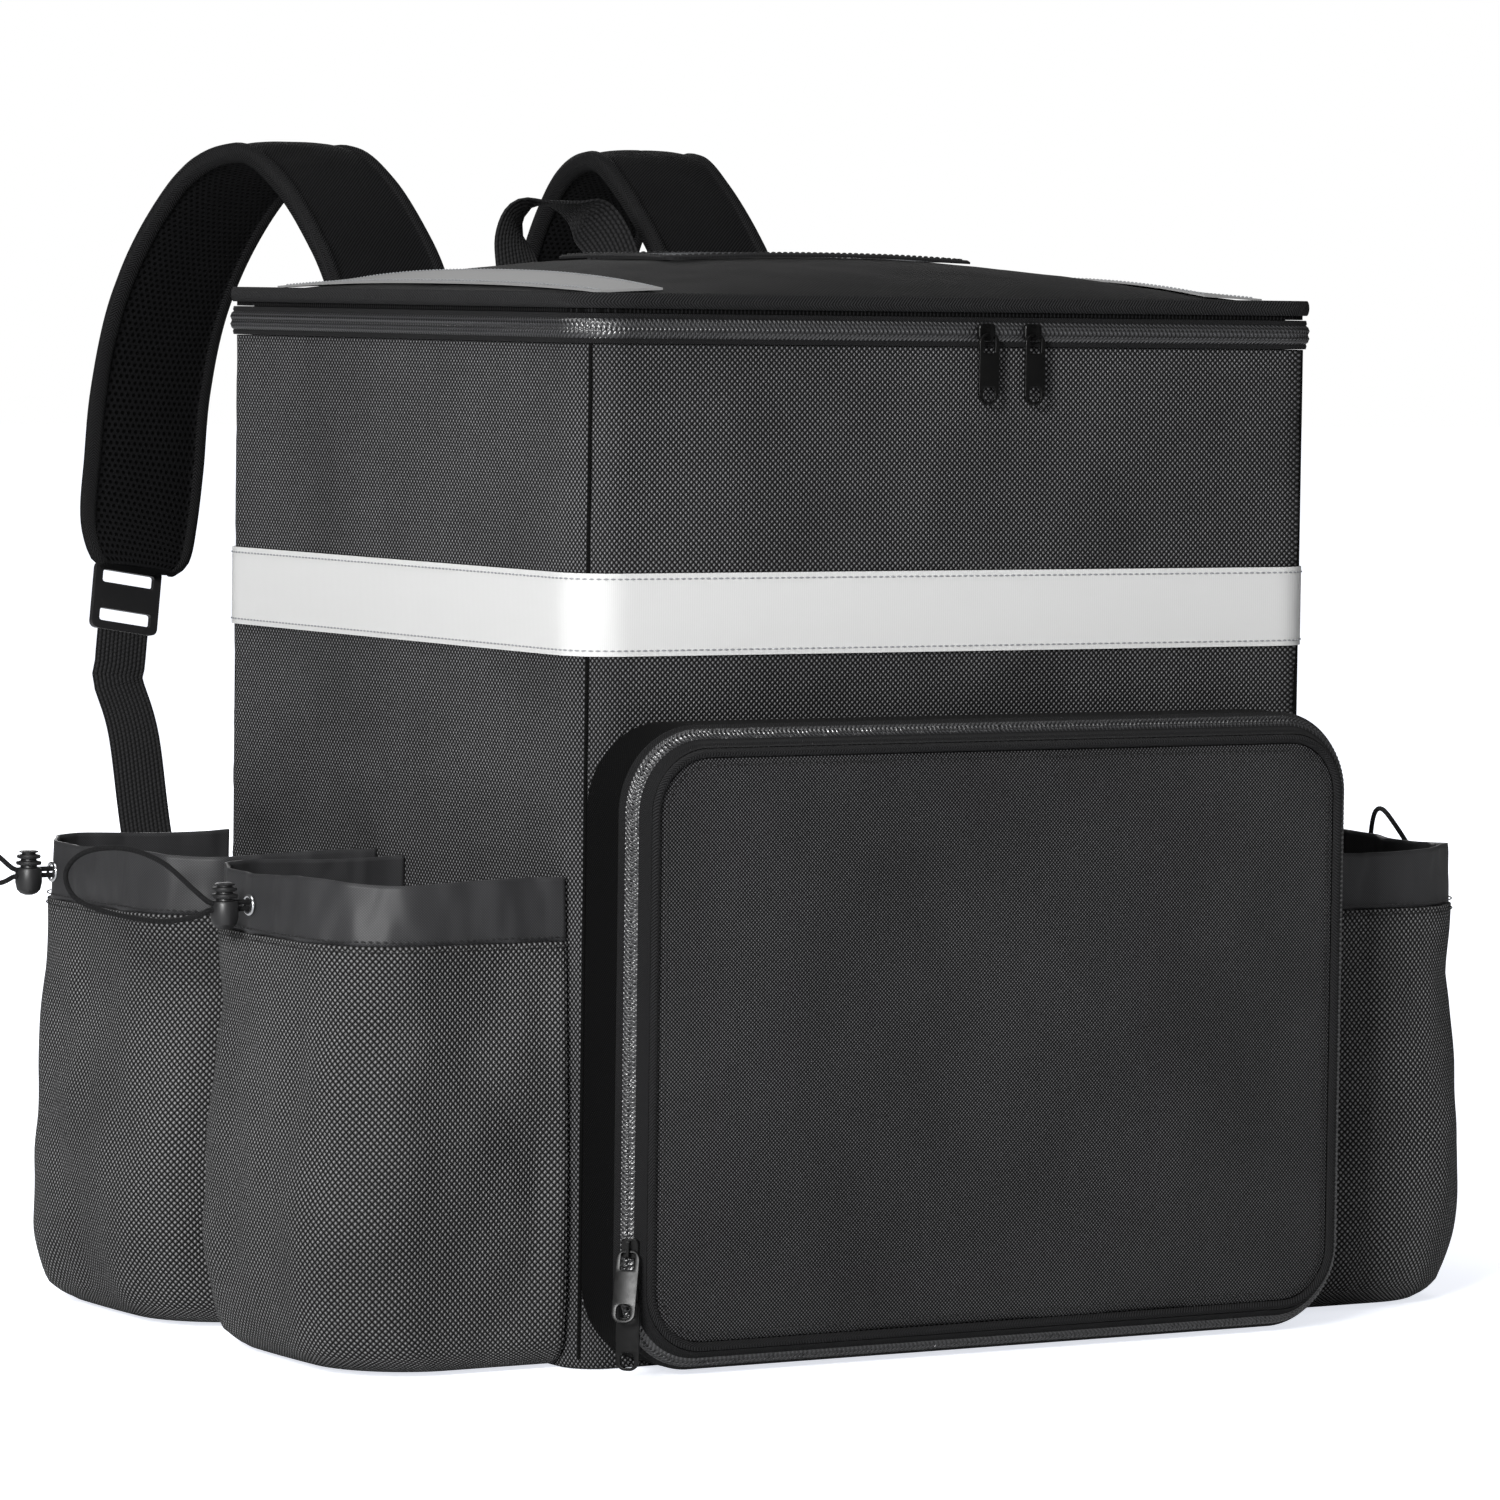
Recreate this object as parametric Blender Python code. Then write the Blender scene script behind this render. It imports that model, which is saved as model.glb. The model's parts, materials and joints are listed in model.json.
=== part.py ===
"""Insulated delivery backpack: a padded box with a zipped lid, a front pocket and four cup pockets.

Metres, +Z up. The origin is the centre of the box's base, and the front of the bag faces -Y.
"""

from math import cos, pi, radians, sin, sqrt

import bmesh
import bpy
from mathutils import Matrix, Vector

# Clearance between pieces that touch
GAP = 0.0003

# Main box
BODY_WIDTH = 0.416
BODY_DEPTH = 0.366
LID_EDGE_HEIGHT = 0.500
BODY_CORNER = 0.022
BODY_WALL = 0.006
BODY_BASE_ROUNDING = 0.005
CORNER_STEPS = 4

# Lid, its zipper and the trim round its edge
LID_DOME = 0.021
LID_DOME_POWER = 2.4
LID_WALL = 0.007
ZIPPER_TOP_DROP = 0.0075
ZIPPER_TAPE_HEIGHT = 0.014
ZIPPER_TAPE_PROUD = 0.0016
COIL_WIDTH = 0.0075
COIL_PROUD = 0.0034
WELT_WIDTH = 0.0075
WELT_PROUD = 0.0028

# Reflective tape round the box and on the lid
TAPE_BASE_HEIGHT = 0.3335
TAPE_WIDTH = 0.0385
TAPE_THICKNESS = 0.0010
LID_TAPE_WIDTH = 0.034
LID_TAPE_INSET = 0.020
LID_TAPE_LIFT = 0.0007

# Clear sleeve on top of the lid
WINDOW_WIDTH = 0.178
WINDOW_DEPTH = 0.112
WINDOW_CORNER = 0.008
WINDOW_BINDING = 0.007
WINDOW_BINDING_THICKNESS = 0.0018
WINDOW_SHEET_THICKNESS = 0.0008

# Front pocket
FRONT_POCKET_WIDTH = 0.409
FRONT_POCKET_HEIGHT = 0.300
FRONT_POCKET_BASE = 0.0030
FRONT_POCKET_CORNER = 0.040
FRONT_GUSSET_DEPTH = 0.029
FRONT_GUSSET_WALL = 0.0020
FRONT_CORNER_TURN = 0.0140
FRONT_PANEL_WALL = 0.0030
FRONT_PANEL_CROWN = 0.0050
FRONT_COIL_PROUD = 0.0012
COIL_FACE_SHARES = (0.14, 0.66)
PIPING_RADIUS = 0.0021

# Cup pockets on both sides
CUP_POCKET_LENGTH = 0.166
CUP_POCKET_REACH = 0.119
CUP_POCKET_SPACING = 0.184
CUP_POCKET_HEIGHT = 0.1980
CUP_POCKET_BASE = 0.0025
CUP_POCKET_CORNER = 0.042
CUP_WALL = 0.0020
COLLAR_HEIGHT = 0.0290
COLLAR_WALL = 0.0018
COLLAR_GATHER_DEPTH = 0.0012
COLLAR_GATHERS = 13

# Drawstring of each cup pocket
EYELET_RADIUS = 0.0052
EYELET_HOLE_RADIUS = 0.0036
EYELET_THICKNESS = 0.0012
EYELET_HEIGHT_SHARE = 0.46
CORD_DIAMETER = 0.0025
CORD_PITCH = 0.0031
CORD_POINT_SPACING = 0.0062
LOCK_RADIUS = 0.0066
LOCK_LENGTH = 0.0220
LOCK_REACH = 0.0130
LOCK_HOLE_CLEARANCE = 0.0009

# Shoulder straps
STRAP_WIDTH = 0.070
STRAP_THICKNESS = 0.0130
STRAP_ROOT_OFFSET = 0.100
STRAP_SPLAY = 0.042
STRAP_REACH = 0.237
STRAP_TIP_HEIGHT = 0.350
STRAP_ARCH_HEIGHT = 0.2215
WEBBING_WIDTH = 0.030
WEBBING_THICKNESS = 0.0018
BUCKLE_LENGTH = 0.036
BUCKLE_THICKNESS = 0.0036
BUCKLE_BAR = 0.0042
BUCKLE_SLOT = 0.0068
ANCHOR_HEIGHT = 0.045
ANCHOR_OFFSET = 0.163

# Webbing handle at the top of the back
HANDLE_SPAN = 0.060
HANDLE_TOP = 0.548
HANDLE_WIDTH = 0.028
HANDLE_FOOT = 0.445
HANDLE_LEAN = 0.027

# Zip sliders and their pull tabs
SLIDER_LENGTH = 0.0092
SLIDER_WIDTH = 0.0082
SLIDER_PLATE = 0.0020
BRIDGE_WIRE = 0.0013
TAB_LENGTH = 0.034
TAB_WIDTH = 0.0112
TAB_THICKNESS = 0.0014
TAB_RAIL = 0.0014
TAB_WINDOW_LENGTH = 0.0080
TAB_SLOT_LENGTH = 0.0072
TAB_SIDE_RAIL = 0.0023
TAB_RUNNING_GAP = 0.0003
MAIN_SLIDER_PLACES = (("left", 0.0095), ("right", 0.0357))
FRONT_SLIDER_PLACES = (("upper", 0.0625), ("lower", 0.0405))
UPPER_TAB_LEAN = radians(17)

# Heights and planes worked out from the sizes above
ZIPPER_TOP = LID_EDGE_HEIGHT - ZIPPER_TOP_DROP
ZIPPER_BASE = ZIPPER_TOP - ZIPPER_TAPE_HEIGHT
ZIPPER_MIDDLE = (ZIPPER_TOP + ZIPPER_BASE) / 2
SHELL_TOP = ZIPPER_BASE - GAP
FRONT_WALL = -BODY_DEPTH / 2
BACK_WALL = BODY_DEPTH / 2
SIDE_WALL = BODY_WIDTH / 2
FRONT_POCKET_MIDDLE = FRONT_POCKET_BASE + FRONT_POCKET_HEIGHT / 2
FRONT_PANEL_INSET = FRONT_CORNER_TURN + 2 * PIPING_RADIUS + 2 * GAP
BRIDGE_SPACE = 1.5 * sqrt(2) * TAB_RAIL
BRIDGE_HEIGHT = SLIDER_PLATE + BRIDGE_SPACE + BRIDGE_WIRE
BRIDGE_HALF = SLIDER_WIDTH / 2 - 0.15 * SLIDER_PLATE
BUCKLE_WIDTH = WEBBING_WIDTH + 2 * BUCKLE_BAR + 2 * GAP


def finish(name, colour, roughness, metallic=0.0):
    """A Principled BSDF material of one colour."""
    material = bpy.data.materials.new(name)
    material.use_nodes = True
    shader = material.node_tree.nodes["Principled BSDF"]
    shader.inputs["Base Color"].default_value = (*colour, 1.0)
    shader.inputs["Roughness"].default_value = roughness
    shader.inputs["Metallic"].default_value = metallic
    return material


def dress(obj, look, smooth=True):
    """Gives an object a material of its own and shades its round faces smooth."""
    colour, roughness, metallic = look
    obj.data.materials.append(finish(obj.name, colour, roughness, metallic))
    if smooth and obj.type == "MESH":
        obj.data.shade_smooth()
        obj.data.set_sharp_from_angle(angle=radians(40))
    return obj


OXFORD_CLOTH = ((0.035, 0.035, 0.037), 0.85, 0.0)
TWILL_CLOTH = ((0.018, 0.018, 0.019), 0.80, 0.0)
SMOOTH_NYLON = ((0.055, 0.055, 0.058), 0.60, 0.0)
REFLECTIVE = ((0.75, 0.76, 0.78), 0.45, 0.0)
ZIP_NYLON = ((0.012, 0.012, 0.012), 0.40, 0.0)
BLACK_METAL = ((0.010, 0.010, 0.010), 0.25, 0.6)
NICKEL = ((0.70, 0.70, 0.71), 0.20, 1.0)
CLEAR_VINYL = ((0.60, 0.62, 0.64), 0.10, 0.0)
WEBBING = ((0.012, 0.012, 0.013), 0.75, 0.0)
HARD_PLASTIC = ((0.015, 0.015, 0.016), 0.35, 0.0)
ELASTIC = ((0.014, 0.014, 0.014), 0.60, 0.0)


def add_object(name, data, look, smooth=True):
    """Puts a mesh or curve in the scene and dresses it."""
    obj = bpy.data.objects.new(name, data)
    bpy.context.scene.collection.objects.link(obj)
    return dress(obj, look, smooth)


def mesh_from(name, rows, closed_rows, closed_rings, placing=None):
    """A mesh through rows of points, each row one line or loop; open ends are capped."""
    shape = bmesh.new()
    grid = [[shape.verts.new(point) for point in row] for row in rows]
    row_count = len(grid)
    row_steps = row_count if closed_rows else row_count - 1
    point_steps = len(grid[0]) if closed_rings else len(grid[0]) - 1
    for row in range(row_steps):
        near = grid[row]
        far = grid[(row + 1) % row_count]
        for step in range(point_steps):
            after = (step + 1) % len(near)
            shape.faces.new((near[step], near[after], far[after], far[step]))
    if not closed_rows:
        shape.faces.new(list(reversed(grid[0])))
        shape.faces.new(grid[-1])
    if not closed_rings:
        shape.faces.new([row[0] for row in grid])
        shape.faces.new([row[-1] for row in reversed(grid)])
    if placing is not None:
        bmesh.ops.transform(shape, matrix=placing, verts=shape.verts)
    bmesh.ops.recalc_face_normals(shape, faces=shape.faces)
    mesh = bpy.data.meshes.new(name)
    shape.to_mesh(mesh)
    shape.free()
    return mesh


def corner_arcs(width, depth, radius, steps):
    """The four corner arcs of a rounded rectangle, from front left and counter-clockwise."""
    arcs = []
    for quarter, (side_x, side_y) in enumerate(((-1, -1), (1, -1), (1, 1), (-1, 1))):
        centre_x = side_x * (width / 2 - radius)
        centre_y = side_y * (depth / 2 - radius)
        start = pi + quarter * pi / 2
        turns = [start + step * pi / 2 / steps for step in range(steps + 1)]
        arcs.append([(centre_x + radius * cos(turn), centre_y + radius * sin(turn)) for turn in turns])
    return arcs


def loop_outline(width, depth, radius, steps=CORNER_STEPS, side_steps=1):
    """A closed rounded rectangle, with side_steps spans along each straight side."""
    points = []
    arcs = corner_arcs(width, depth, radius, steps)
    for index, arc in enumerate(arcs):
        points.extend(arc)
        start = arc[-1]
        end = arcs[(index + 1) % len(arcs)][0]
        for step in range(1, side_steps):
            share = step / side_steps
            points.append((start[0] + (end[0] - start[0]) * share, start[1] + (end[1] - start[1]) * share))
    return points


def part_outline(first, last, offset, trim):
    """The box's outline from the middle of one corner to the middle of another, cut short by trim."""
    arcs = corner_arcs(
        BODY_WIDTH + 2 * offset, BODY_DEPTH + 2 * offset, BODY_CORNER + offset, CORNER_STEPS
    )
    middle = CORNER_STEPS // 2
    points = arcs[first % len(arcs)][middle:]
    for corner in range(first + 1, last):
        points = points + arcs[corner % len(arcs)]
    points = [Vector(point) for point in points + arcs[last % len(arcs)][: middle + 1]]
    points[0] = points[0] + (points[1] - points[0]).normalized() * trim
    points[-1] = points[-1] + (points[-2] - points[-1]).normalized() * trim
    return [tuple(point) for point in points]


def ring_piece(name, section, outline, look, height=None, placing=None):
    """A closed band round an outline. Each section point is an offset and a height."""
    rows = []
    for offset, level in section:
        row = []
        for x, y in outline(offset):
            row.append((x, y, level + (height(x, y) if height else 0.0)))
        rows.append(row)
    return add_object(name, mesh_from(name, rows, True, True, placing), look)


def open_piece(name, section, first, last, look, trim=GAP / 2):
    """A band along part of the box's outline, with both ends closed."""
    rows = [[(x, y, level) for x, y in part_outline(first, last, offset, trim)] for offset, level in section]
    return add_object(name, mesh_from(name, rows, True, False), look)


def smooth_points(route, spacing):
    """Points along a smooth curve through the route, about the spacing apart."""
    knots = [Vector(point) for point in route]
    ends = [2 * knots[0] - knots[1]] + knots + [2 * knots[-1] - knots[-2]]
    fine = []
    spans = len(knots) - 1
    parts = 24
    for span in range(spans):
        before, start, end, after = ends[span : span + 4]
        for part in range(parts):
            share = part / parts
            fine.append(
                0.5
                * (
                    2 * start
                    + (end - before) * share
                    + (2 * before - 5 * start + 4 * end - after) * share**2
                    + (3 * start - before - 3 * end + after) * share**3
                )
            )
    fine.append(knots[-1])
    lengths = [0.0]
    for near, far in zip(fine, fine[1:]):
        lengths.append(lengths[-1] + (far - near).length)
    count = max(2, round(lengths[-1] / spacing))
    points = []
    index = 0
    for step in range(count + 1):
        target = lengths[-1] * step / count
        while index < len(fine) - 2 and lengths[index + 1] < target:
            index += 1
        span = lengths[index + 1] - lengths[index]
        share = (target - lengths[index]) / span if span else 0.0
        points.append(fine[index].lerp(fine[index + 1], share))
    return points


def ribbon(name, points, across, widths, thicknesses, look, rounded=False):
    """A flat strip along points: across gives its width direction at each of them."""
    profile = ((-0.5, -0.5), (0.5, -0.5), (0.5, 0.5), (-0.5, 0.5))
    if rounded:
        profile = (
            (-0.5, -0.20), (-0.44, -0.42), (-0.30, -0.5), (0.30, -0.5), (0.44, -0.42),
            (0.5, -0.20), (0.5, 0.20), (0.44, 0.42), (0.30, 0.5), (-0.30, 0.5), (-0.44, 0.42), (-0.5, 0.20),
        )
    rows = []
    last = len(points) - 1
    for index, point in enumerate(points):
        along = (points[min(index + 1, last)] - points[max(index - 1, 0)]).normalized()
        side = across[index]
        side = (side - along * side.dot(along)).normalized()
        face = along.cross(side)
        rows.append(
            [
                point + side * share_wide * widths[index] + face * share_thick * thicknesses[index]
                for share_wide, share_thick in profile
            ]
        )
    return add_object(name, mesh_from(name, rows, False, True), look)


def build_shell():
    """The open padded box that takes the load, with its floor."""
    def ring(offset, level):
        outline = loop_outline(BODY_WIDTH + 2 * offset, BODY_DEPTH + 2 * offset, BODY_CORNER + offset)
        return [(x, y, level) for x, y in outline]

    rows = [
        ring(-BODY_BASE_ROUNDING, 0.0),
        ring(-BODY_BASE_ROUNDING * 0.3, BODY_BASE_ROUNDING * 0.3),
        ring(0.0, BODY_BASE_ROUNDING),
        ring(0.0, SHELL_TOP),
        ring(-BODY_WALL, SHELL_TOP),
        ring(-BODY_WALL, BODY_WALL),
    ]
    return add_object("body_shell", mesh_from("body_shell", rows, False, True), OXFORD_CLOTH)


def lid_height(x, y):
    """Height of the domed lid above its edge."""
    share_x = min(1.0, abs(x) / SIDE_WALL) ** LID_DOME_POWER
    share_y = min(1.0, abs(y) / BACK_WALL) ** LID_DOME_POWER
    return LID_DOME * (1 - share_x) * (1 - share_y)


# Rings of the lid's top, as shares of its size, from the edge to the middle
LID_RINGS = (0.985, 0.94, 0.86, 0.74, 0.58, 0.38, 0.16)


def build_lid():
    """The padded lid: a dome with a short skirt down to the zipper, hollow below."""
    side_steps = 6

    def flat_ring(offset, level):
        outline = loop_outline(
            BODY_WIDTH + 2 * offset, BODY_DEPTH + 2 * offset, BODY_CORNER + offset, CORNER_STEPS, side_steps
        )
        return [(x, y, level) for x, y in outline]

    def dome_ring(share, drop):
        outline = loop_outline(
            BODY_WIDTH * share, BODY_DEPTH * share, BODY_CORNER * share, CORNER_STEPS, side_steps
        )
        return [(x, y, LID_EDGE_HEIGHT - drop + lid_height(x, y)) for x, y in outline]

    inner_share = 1 - 2 * LID_WALL / BODY_DEPTH
    rows = [dome_ring(share, 0.0) for share in reversed(LID_RINGS)]
    rows.append(flat_ring(0.0, LID_EDGE_HEIGHT - 0.2 * LID_WALL))
    rows.append(flat_ring(0.0, ZIPPER_TOP + GAP))
    rows.append(flat_ring(-LID_WALL, ZIPPER_TOP + GAP))
    rows += [dome_ring(share * inner_share, LID_WALL) for share in LID_RINGS]
    lid = add_object("lid", mesh_from("lid", rows, False, True), OXFORD_CLOTH)

    def welt_outline(offset):
        return loop_outline(BODY_WIDTH + 2 * offset, BODY_DEPTH + 2 * offset, BODY_CORNER + offset)

    top = LID_EDGE_HEIGHT + 0.3 * WELT_WIDTH
    base = top - WELT_WIDTH
    section = (
        (GAP, base),
        (0.7 * WELT_PROUD, base),
        (WELT_PROUD, base + 0.3 * WELT_WIDTH),
        (WELT_PROUD, base + 0.7 * WELT_WIDTH),
        (0.6 * WELT_PROUD, top),
        (GAP, top),
    )
    ring_piece("lid_welt", section, welt_outline, TWILL_CLOTH)
    return lid


def build_zipper():
    """Coil and tape on three sides under the lid, and the cloth that hinges it at the back."""
    coil_base = ZIPPER_MIDDLE - COIL_WIDTH / 2
    coil_top = ZIPPER_MIDDLE + COIL_WIDTH / 2
    slope = COIL_PROUD - ZIPPER_TAPE_PROUD
    section = (
        (-BODY_WALL / 2, ZIPPER_BASE),
        (ZIPPER_TAPE_PROUD, ZIPPER_BASE),
        (ZIPPER_TAPE_PROUD, coil_base - slope / 2),
        (COIL_PROUD, coil_base + slope / 2),
        (COIL_PROUD, coil_top - slope / 2),
        (ZIPPER_TAPE_PROUD, coil_top + slope / 2),
        (ZIPPER_TAPE_PROUD, ZIPPER_TOP),
        (-BODY_WALL / 2, ZIPPER_TOP),
    )
    open_piece("main_zipper", section, 3, 6, ZIP_NYLON)
    hinge = (
        (-BODY_WALL / 2, ZIPPER_BASE),
        (ZIPPER_TAPE_PROUD, ZIPPER_BASE),
        (ZIPPER_TAPE_PROUD, ZIPPER_TOP),
        (-BODY_WALL / 2, ZIPPER_TOP),
    )
    open_piece("lid_hinge", hinge, 2, 3, TWILL_CLOTH)


def build_tapes():
    """Reflective tape round the box and along the lid's two side edges."""
    section = (
        (GAP, TAPE_BASE_HEIGHT),
        (GAP + TAPE_THICKNESS, TAPE_BASE_HEIGHT),
        (GAP + TAPE_THICKNESS, TAPE_BASE_HEIGHT + TAPE_WIDTH),
        (GAP, TAPE_BASE_HEIGHT + TAPE_WIDTH),
    )
    for place, corner in (("left", 3), ("front", 4), ("right", 5)):
        open_piece(f"reflective_tape_{place}", section, corner, corner + 1, REFLECTIVE)
    spans = 16
    length = BODY_DEPTH - 2 * BODY_CORNER
    for place, side in (("left", -1), ("right", 1)):
        outer = SIDE_WALL - LID_TAPE_INSET
        inner = outer - LID_TAPE_WIDTH
        across = (outer, (outer + inner) / 2, inner)
        rows = []
        for step in range(spans + 1):
            y = length * (step / spans - 0.5)
            row = [(side * x, y, LID_EDGE_HEIGHT + LID_TAPE_LIFT + lid_height(x, y)) for x in across]
            rows.append(row + [(x, y, z + TAPE_THICKNESS) for x, y, z in reversed(row)])
        name = f"lid_tape_{place}"
        add_object(name, mesh_from(name, rows, False, True), REFLECTIVE)


def build_window():
    """A clear sleeve with a bound edge on the middle of the lid."""
    def height(x, y):
        return LID_EDGE_HEIGHT + LID_TAPE_LIFT + lid_height(x, y)

    def outline(offset):
        return loop_outline(
            WINDOW_WIDTH + 2 * offset, WINDOW_DEPTH + 2 * offset, WINDOW_CORNER + offset, CORNER_STEPS, 4
        )

    section = (
        (-WINDOW_BINDING, 0.0),
        (0.0, 0.0),
        (0.0, 0.6 * WINDOW_BINDING_THICKNESS),
        (-0.2 * WINDOW_BINDING, WINDOW_BINDING_THICKNESS),
        (-0.8 * WINDOW_BINDING, WINDOW_BINDING_THICKNESS),
        (-WINDOW_BINDING, 0.6 * WINDOW_BINDING_THICKNESS),
    )
    ring_piece("window_binding", section, outline, TWILL_CLOTH, height)
    spans = 8
    width = WINDOW_WIDTH - 2 * (WINDOW_BINDING + GAP)
    depth = WINDOW_DEPTH - 2 * (WINDOW_BINDING + GAP)
    rows = []
    for step in range(spans + 1):
        x = width * (step / spans - 0.5)
        row = [(x, depth * (part / 6 - 0.5)) for part in range(7)]
        low = [(x, y, height(x, y)) for x, y in row]
        rows.append(low + [(x, y, z + WINDOW_SHEET_THICKNESS) for x, y, z in reversed(low)])
    add_object("window_sheet", mesh_from("window_sheet", rows, False, True), CLEAR_VINYL)


def panel_crown(a, b):
    """How far the front panel swells out, at a point measured from its middle."""
    share_a = min(1.0, abs(a) / (FRONT_POCKET_WIDTH / 2 - FRONT_PANEL_INSET)) ** 2
    share_b = min(1.0, abs(b) / (FRONT_POCKET_HEIGHT / 2 - FRONT_PANEL_INSET)) ** 2
    return FRONT_PANEL_CROWN * (1 - share_a) * (1 - share_b)


def build_front_pocket():
    """The zipped front pocket: gusset, zipper round the corner, piping and face panel."""
    placing = Matrix(
        ((1, 0, 0, 0), (0, 0, -1, FRONT_WALL), (0, 1, 0, FRONT_POCKET_MIDDLE), (0, 0, 0, 1))
    )
    corner_steps = 7

    def outline(offset):
        return loop_outline(
            FRONT_POCKET_WIDTH + 2 * offset,
            FRONT_POCKET_HEIGHT + 2 * offset,
            FRONT_POCKET_CORNER + offset,
            corner_steps,
        )

    edge = FRONT_GUSSET_DEPTH
    wall = FRONT_GUSSET_WALL
    gusset = ((0.0, GAP), (0.0, edge), (-wall, edge), (-wall, GAP))
    ring_piece("front_pocket_gusset", gusset, outline, TWILL_CLOTH, placing=placing)

    turn = FRONT_CORNER_TURN
    proud = FRONT_COIL_PROUD / sqrt(2)
    face = edge + turn
    start, end = COIL_FACE_SHARES
    zipper = (
        (0.0, edge + GAP),
        (0.0, edge + 0.12 * turn),
        (proud - start * turn, edge + (start + 0.12) * turn + proud),
        (proud - end * turn, edge + (end + 0.12) * turn + proud),
        (-0.80 * turn, edge + 0.90 * turn),
        (-turn, face),
        (-turn, face - wall),
        (-0.72 * turn - 0.7 * wall, edge + 0.84 * turn - 0.7 * wall),
        (-start * turn - 0.7 * wall, edge + (start + 0.12) * turn - 0.7 * wall),
        (-wall, edge + GAP),
    )
    ring_piece("front_pocket_zipper", zipper, outline, ZIP_NYLON, placing=placing)

    piping_middle = turn + GAP + PIPING_RADIUS
    piping = [
        (-piping_middle + PIPING_RADIUS * cos(step * pi / 4), face + PIPING_RADIUS * sin(step * pi / 4))
        for step in range(8)
    ]
    ring_piece("front_pocket_piping", piping, outline, TWILL_CLOTH, placing=placing)

    def panel_ring(share, drop):
        width = (FRONT_POCKET_WIDTH - 2 * FRONT_PANEL_INSET) * share
        height = (FRONT_POCKET_HEIGHT - 2 * FRONT_PANEL_INSET) * share
        corner = (FRONT_POCKET_CORNER - FRONT_PANEL_INSET) * share
        points = loop_outline(width, height, corner, corner_steps, 4)
        return [(a, b, face - drop + panel_crown(a, b)) for a, b in points]

    shares = (1.0, 0.90, 0.74, 0.48, 0.18)
    rows = [panel_ring(share, 0.0) for share in reversed(shares)]
    rows += [panel_ring(share, FRONT_PANEL_WALL) for share in shares]
    mesh = mesh_from("front_pocket_panel", rows, False, True, placing)
    add_object("front_pocket_panel", mesh, TWILL_CLOTH)


# Height, reach and length of a cup pocket's wall, as shares of its named sizes
CUP_SECTIONS = (
    (0.000, 0.84, 0.88),
    (0.022, 0.92, 0.945),
    (0.070, 0.985, 0.99),
    (0.240, 1.020, 1.010),
    (0.600, 1.000, 1.000),
    (1.000, 0.955, 0.965),
)
CUP_BULGE_SHARE = 0.03
COLLAR_BASE_SHARES = (0.955, 0.965)
COLLAR_TOP_SHARES = (0.947, 0.957)
CUP_OUTLINE_STEPS = 26
COLLAR_OUTLINE_STEPS = 52


def cup_outline(reach_share, length_share, inset, steps):
    """Points round a cup pocket, from the wall out, along and back: reach out and place along Y."""
    reach = CUP_POCKET_REACH * reach_share - inset
    half = CUP_POCKET_LENGTH * length_share / 2 - inset
    corner = CUP_POCKET_CORNER - inset
    straight = reach - corner
    arc = corner * pi / 2
    along = 2 * (half - corner)
    total = 2 * straight + 2 * arc + along
    points = []
    for step in range(steps + 1):
        place = total * step / steps
        mirrored = place > total / 2
        place = min(place, total - place)
        if place < straight:
            out, side = place, -half
        elif place < straight + arc:
            turn = (place - straight) / corner
            out = straight + corner * sin(turn)
            side = -half + corner * (1 - cos(turn))
        else:
            out, side = reach, -half + corner + place - straight - arc
        swell = CUP_BULGE_SHARE * CUP_POCKET_REACH * max(0.0, 1 - (side / half) ** 2) * out / reach
        points.append((out + swell, -side if mirrored else side))
    return points


def cup_mesh(name, side, middle):
    """A cup pocket of cloth walls and a floor, open at the top and where it meets the box."""
    def placed(points, height):
        return [(side * (SIDE_WALL + GAP + out), middle + along, height) for out, along in points]

    outer = []
    inner = []
    for height_share, reach_share, length_share in CUP_SECTIONS:
        height = CUP_POCKET_BASE + CUP_POCKET_HEIGHT * height_share
        outer.append(placed(cup_outline(reach_share, length_share, 0.0, CUP_OUTLINE_STEPS), height))
        inner.append(placed(cup_outline(reach_share, length_share, CUP_WALL, CUP_OUTLINE_STEPS), height))
    shape = bmesh.new()
    outer = [[shape.verts.new(point) for point in row] for row in outer]
    inner = [[shape.verts.new(point) for point in row] for row in inner[1:]]
    for rows in (outer, inner):
        for near, far in zip(rows, rows[1:]):
            for step in range(CUP_OUTLINE_STEPS):
                shape.faces.new((near[step], near[step + 1], far[step + 1], far[step]))
    for step in range(CUP_OUTLINE_STEPS):
        shape.faces.new((outer[-1][step], outer[-1][step + 1], inner[-1][step + 1], inner[-1][step]))
    shape.faces.new(outer[0])
    shape.faces.new(inner[0])
    near_edge = [row[0] for row in outer] + [row[0] for row in reversed(inner)]
    far_edge = [row[-1] for row in inner] + [row[-1] for row in reversed(outer)]
    shape.faces.new(near_edge + far_edge)
    bmesh.ops.recalc_face_normals(shape, faces=shape.faces)
    mesh = bpy.data.meshes.new(name)
    shape.to_mesh(mesh)
    shape.free()
    return mesh


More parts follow.
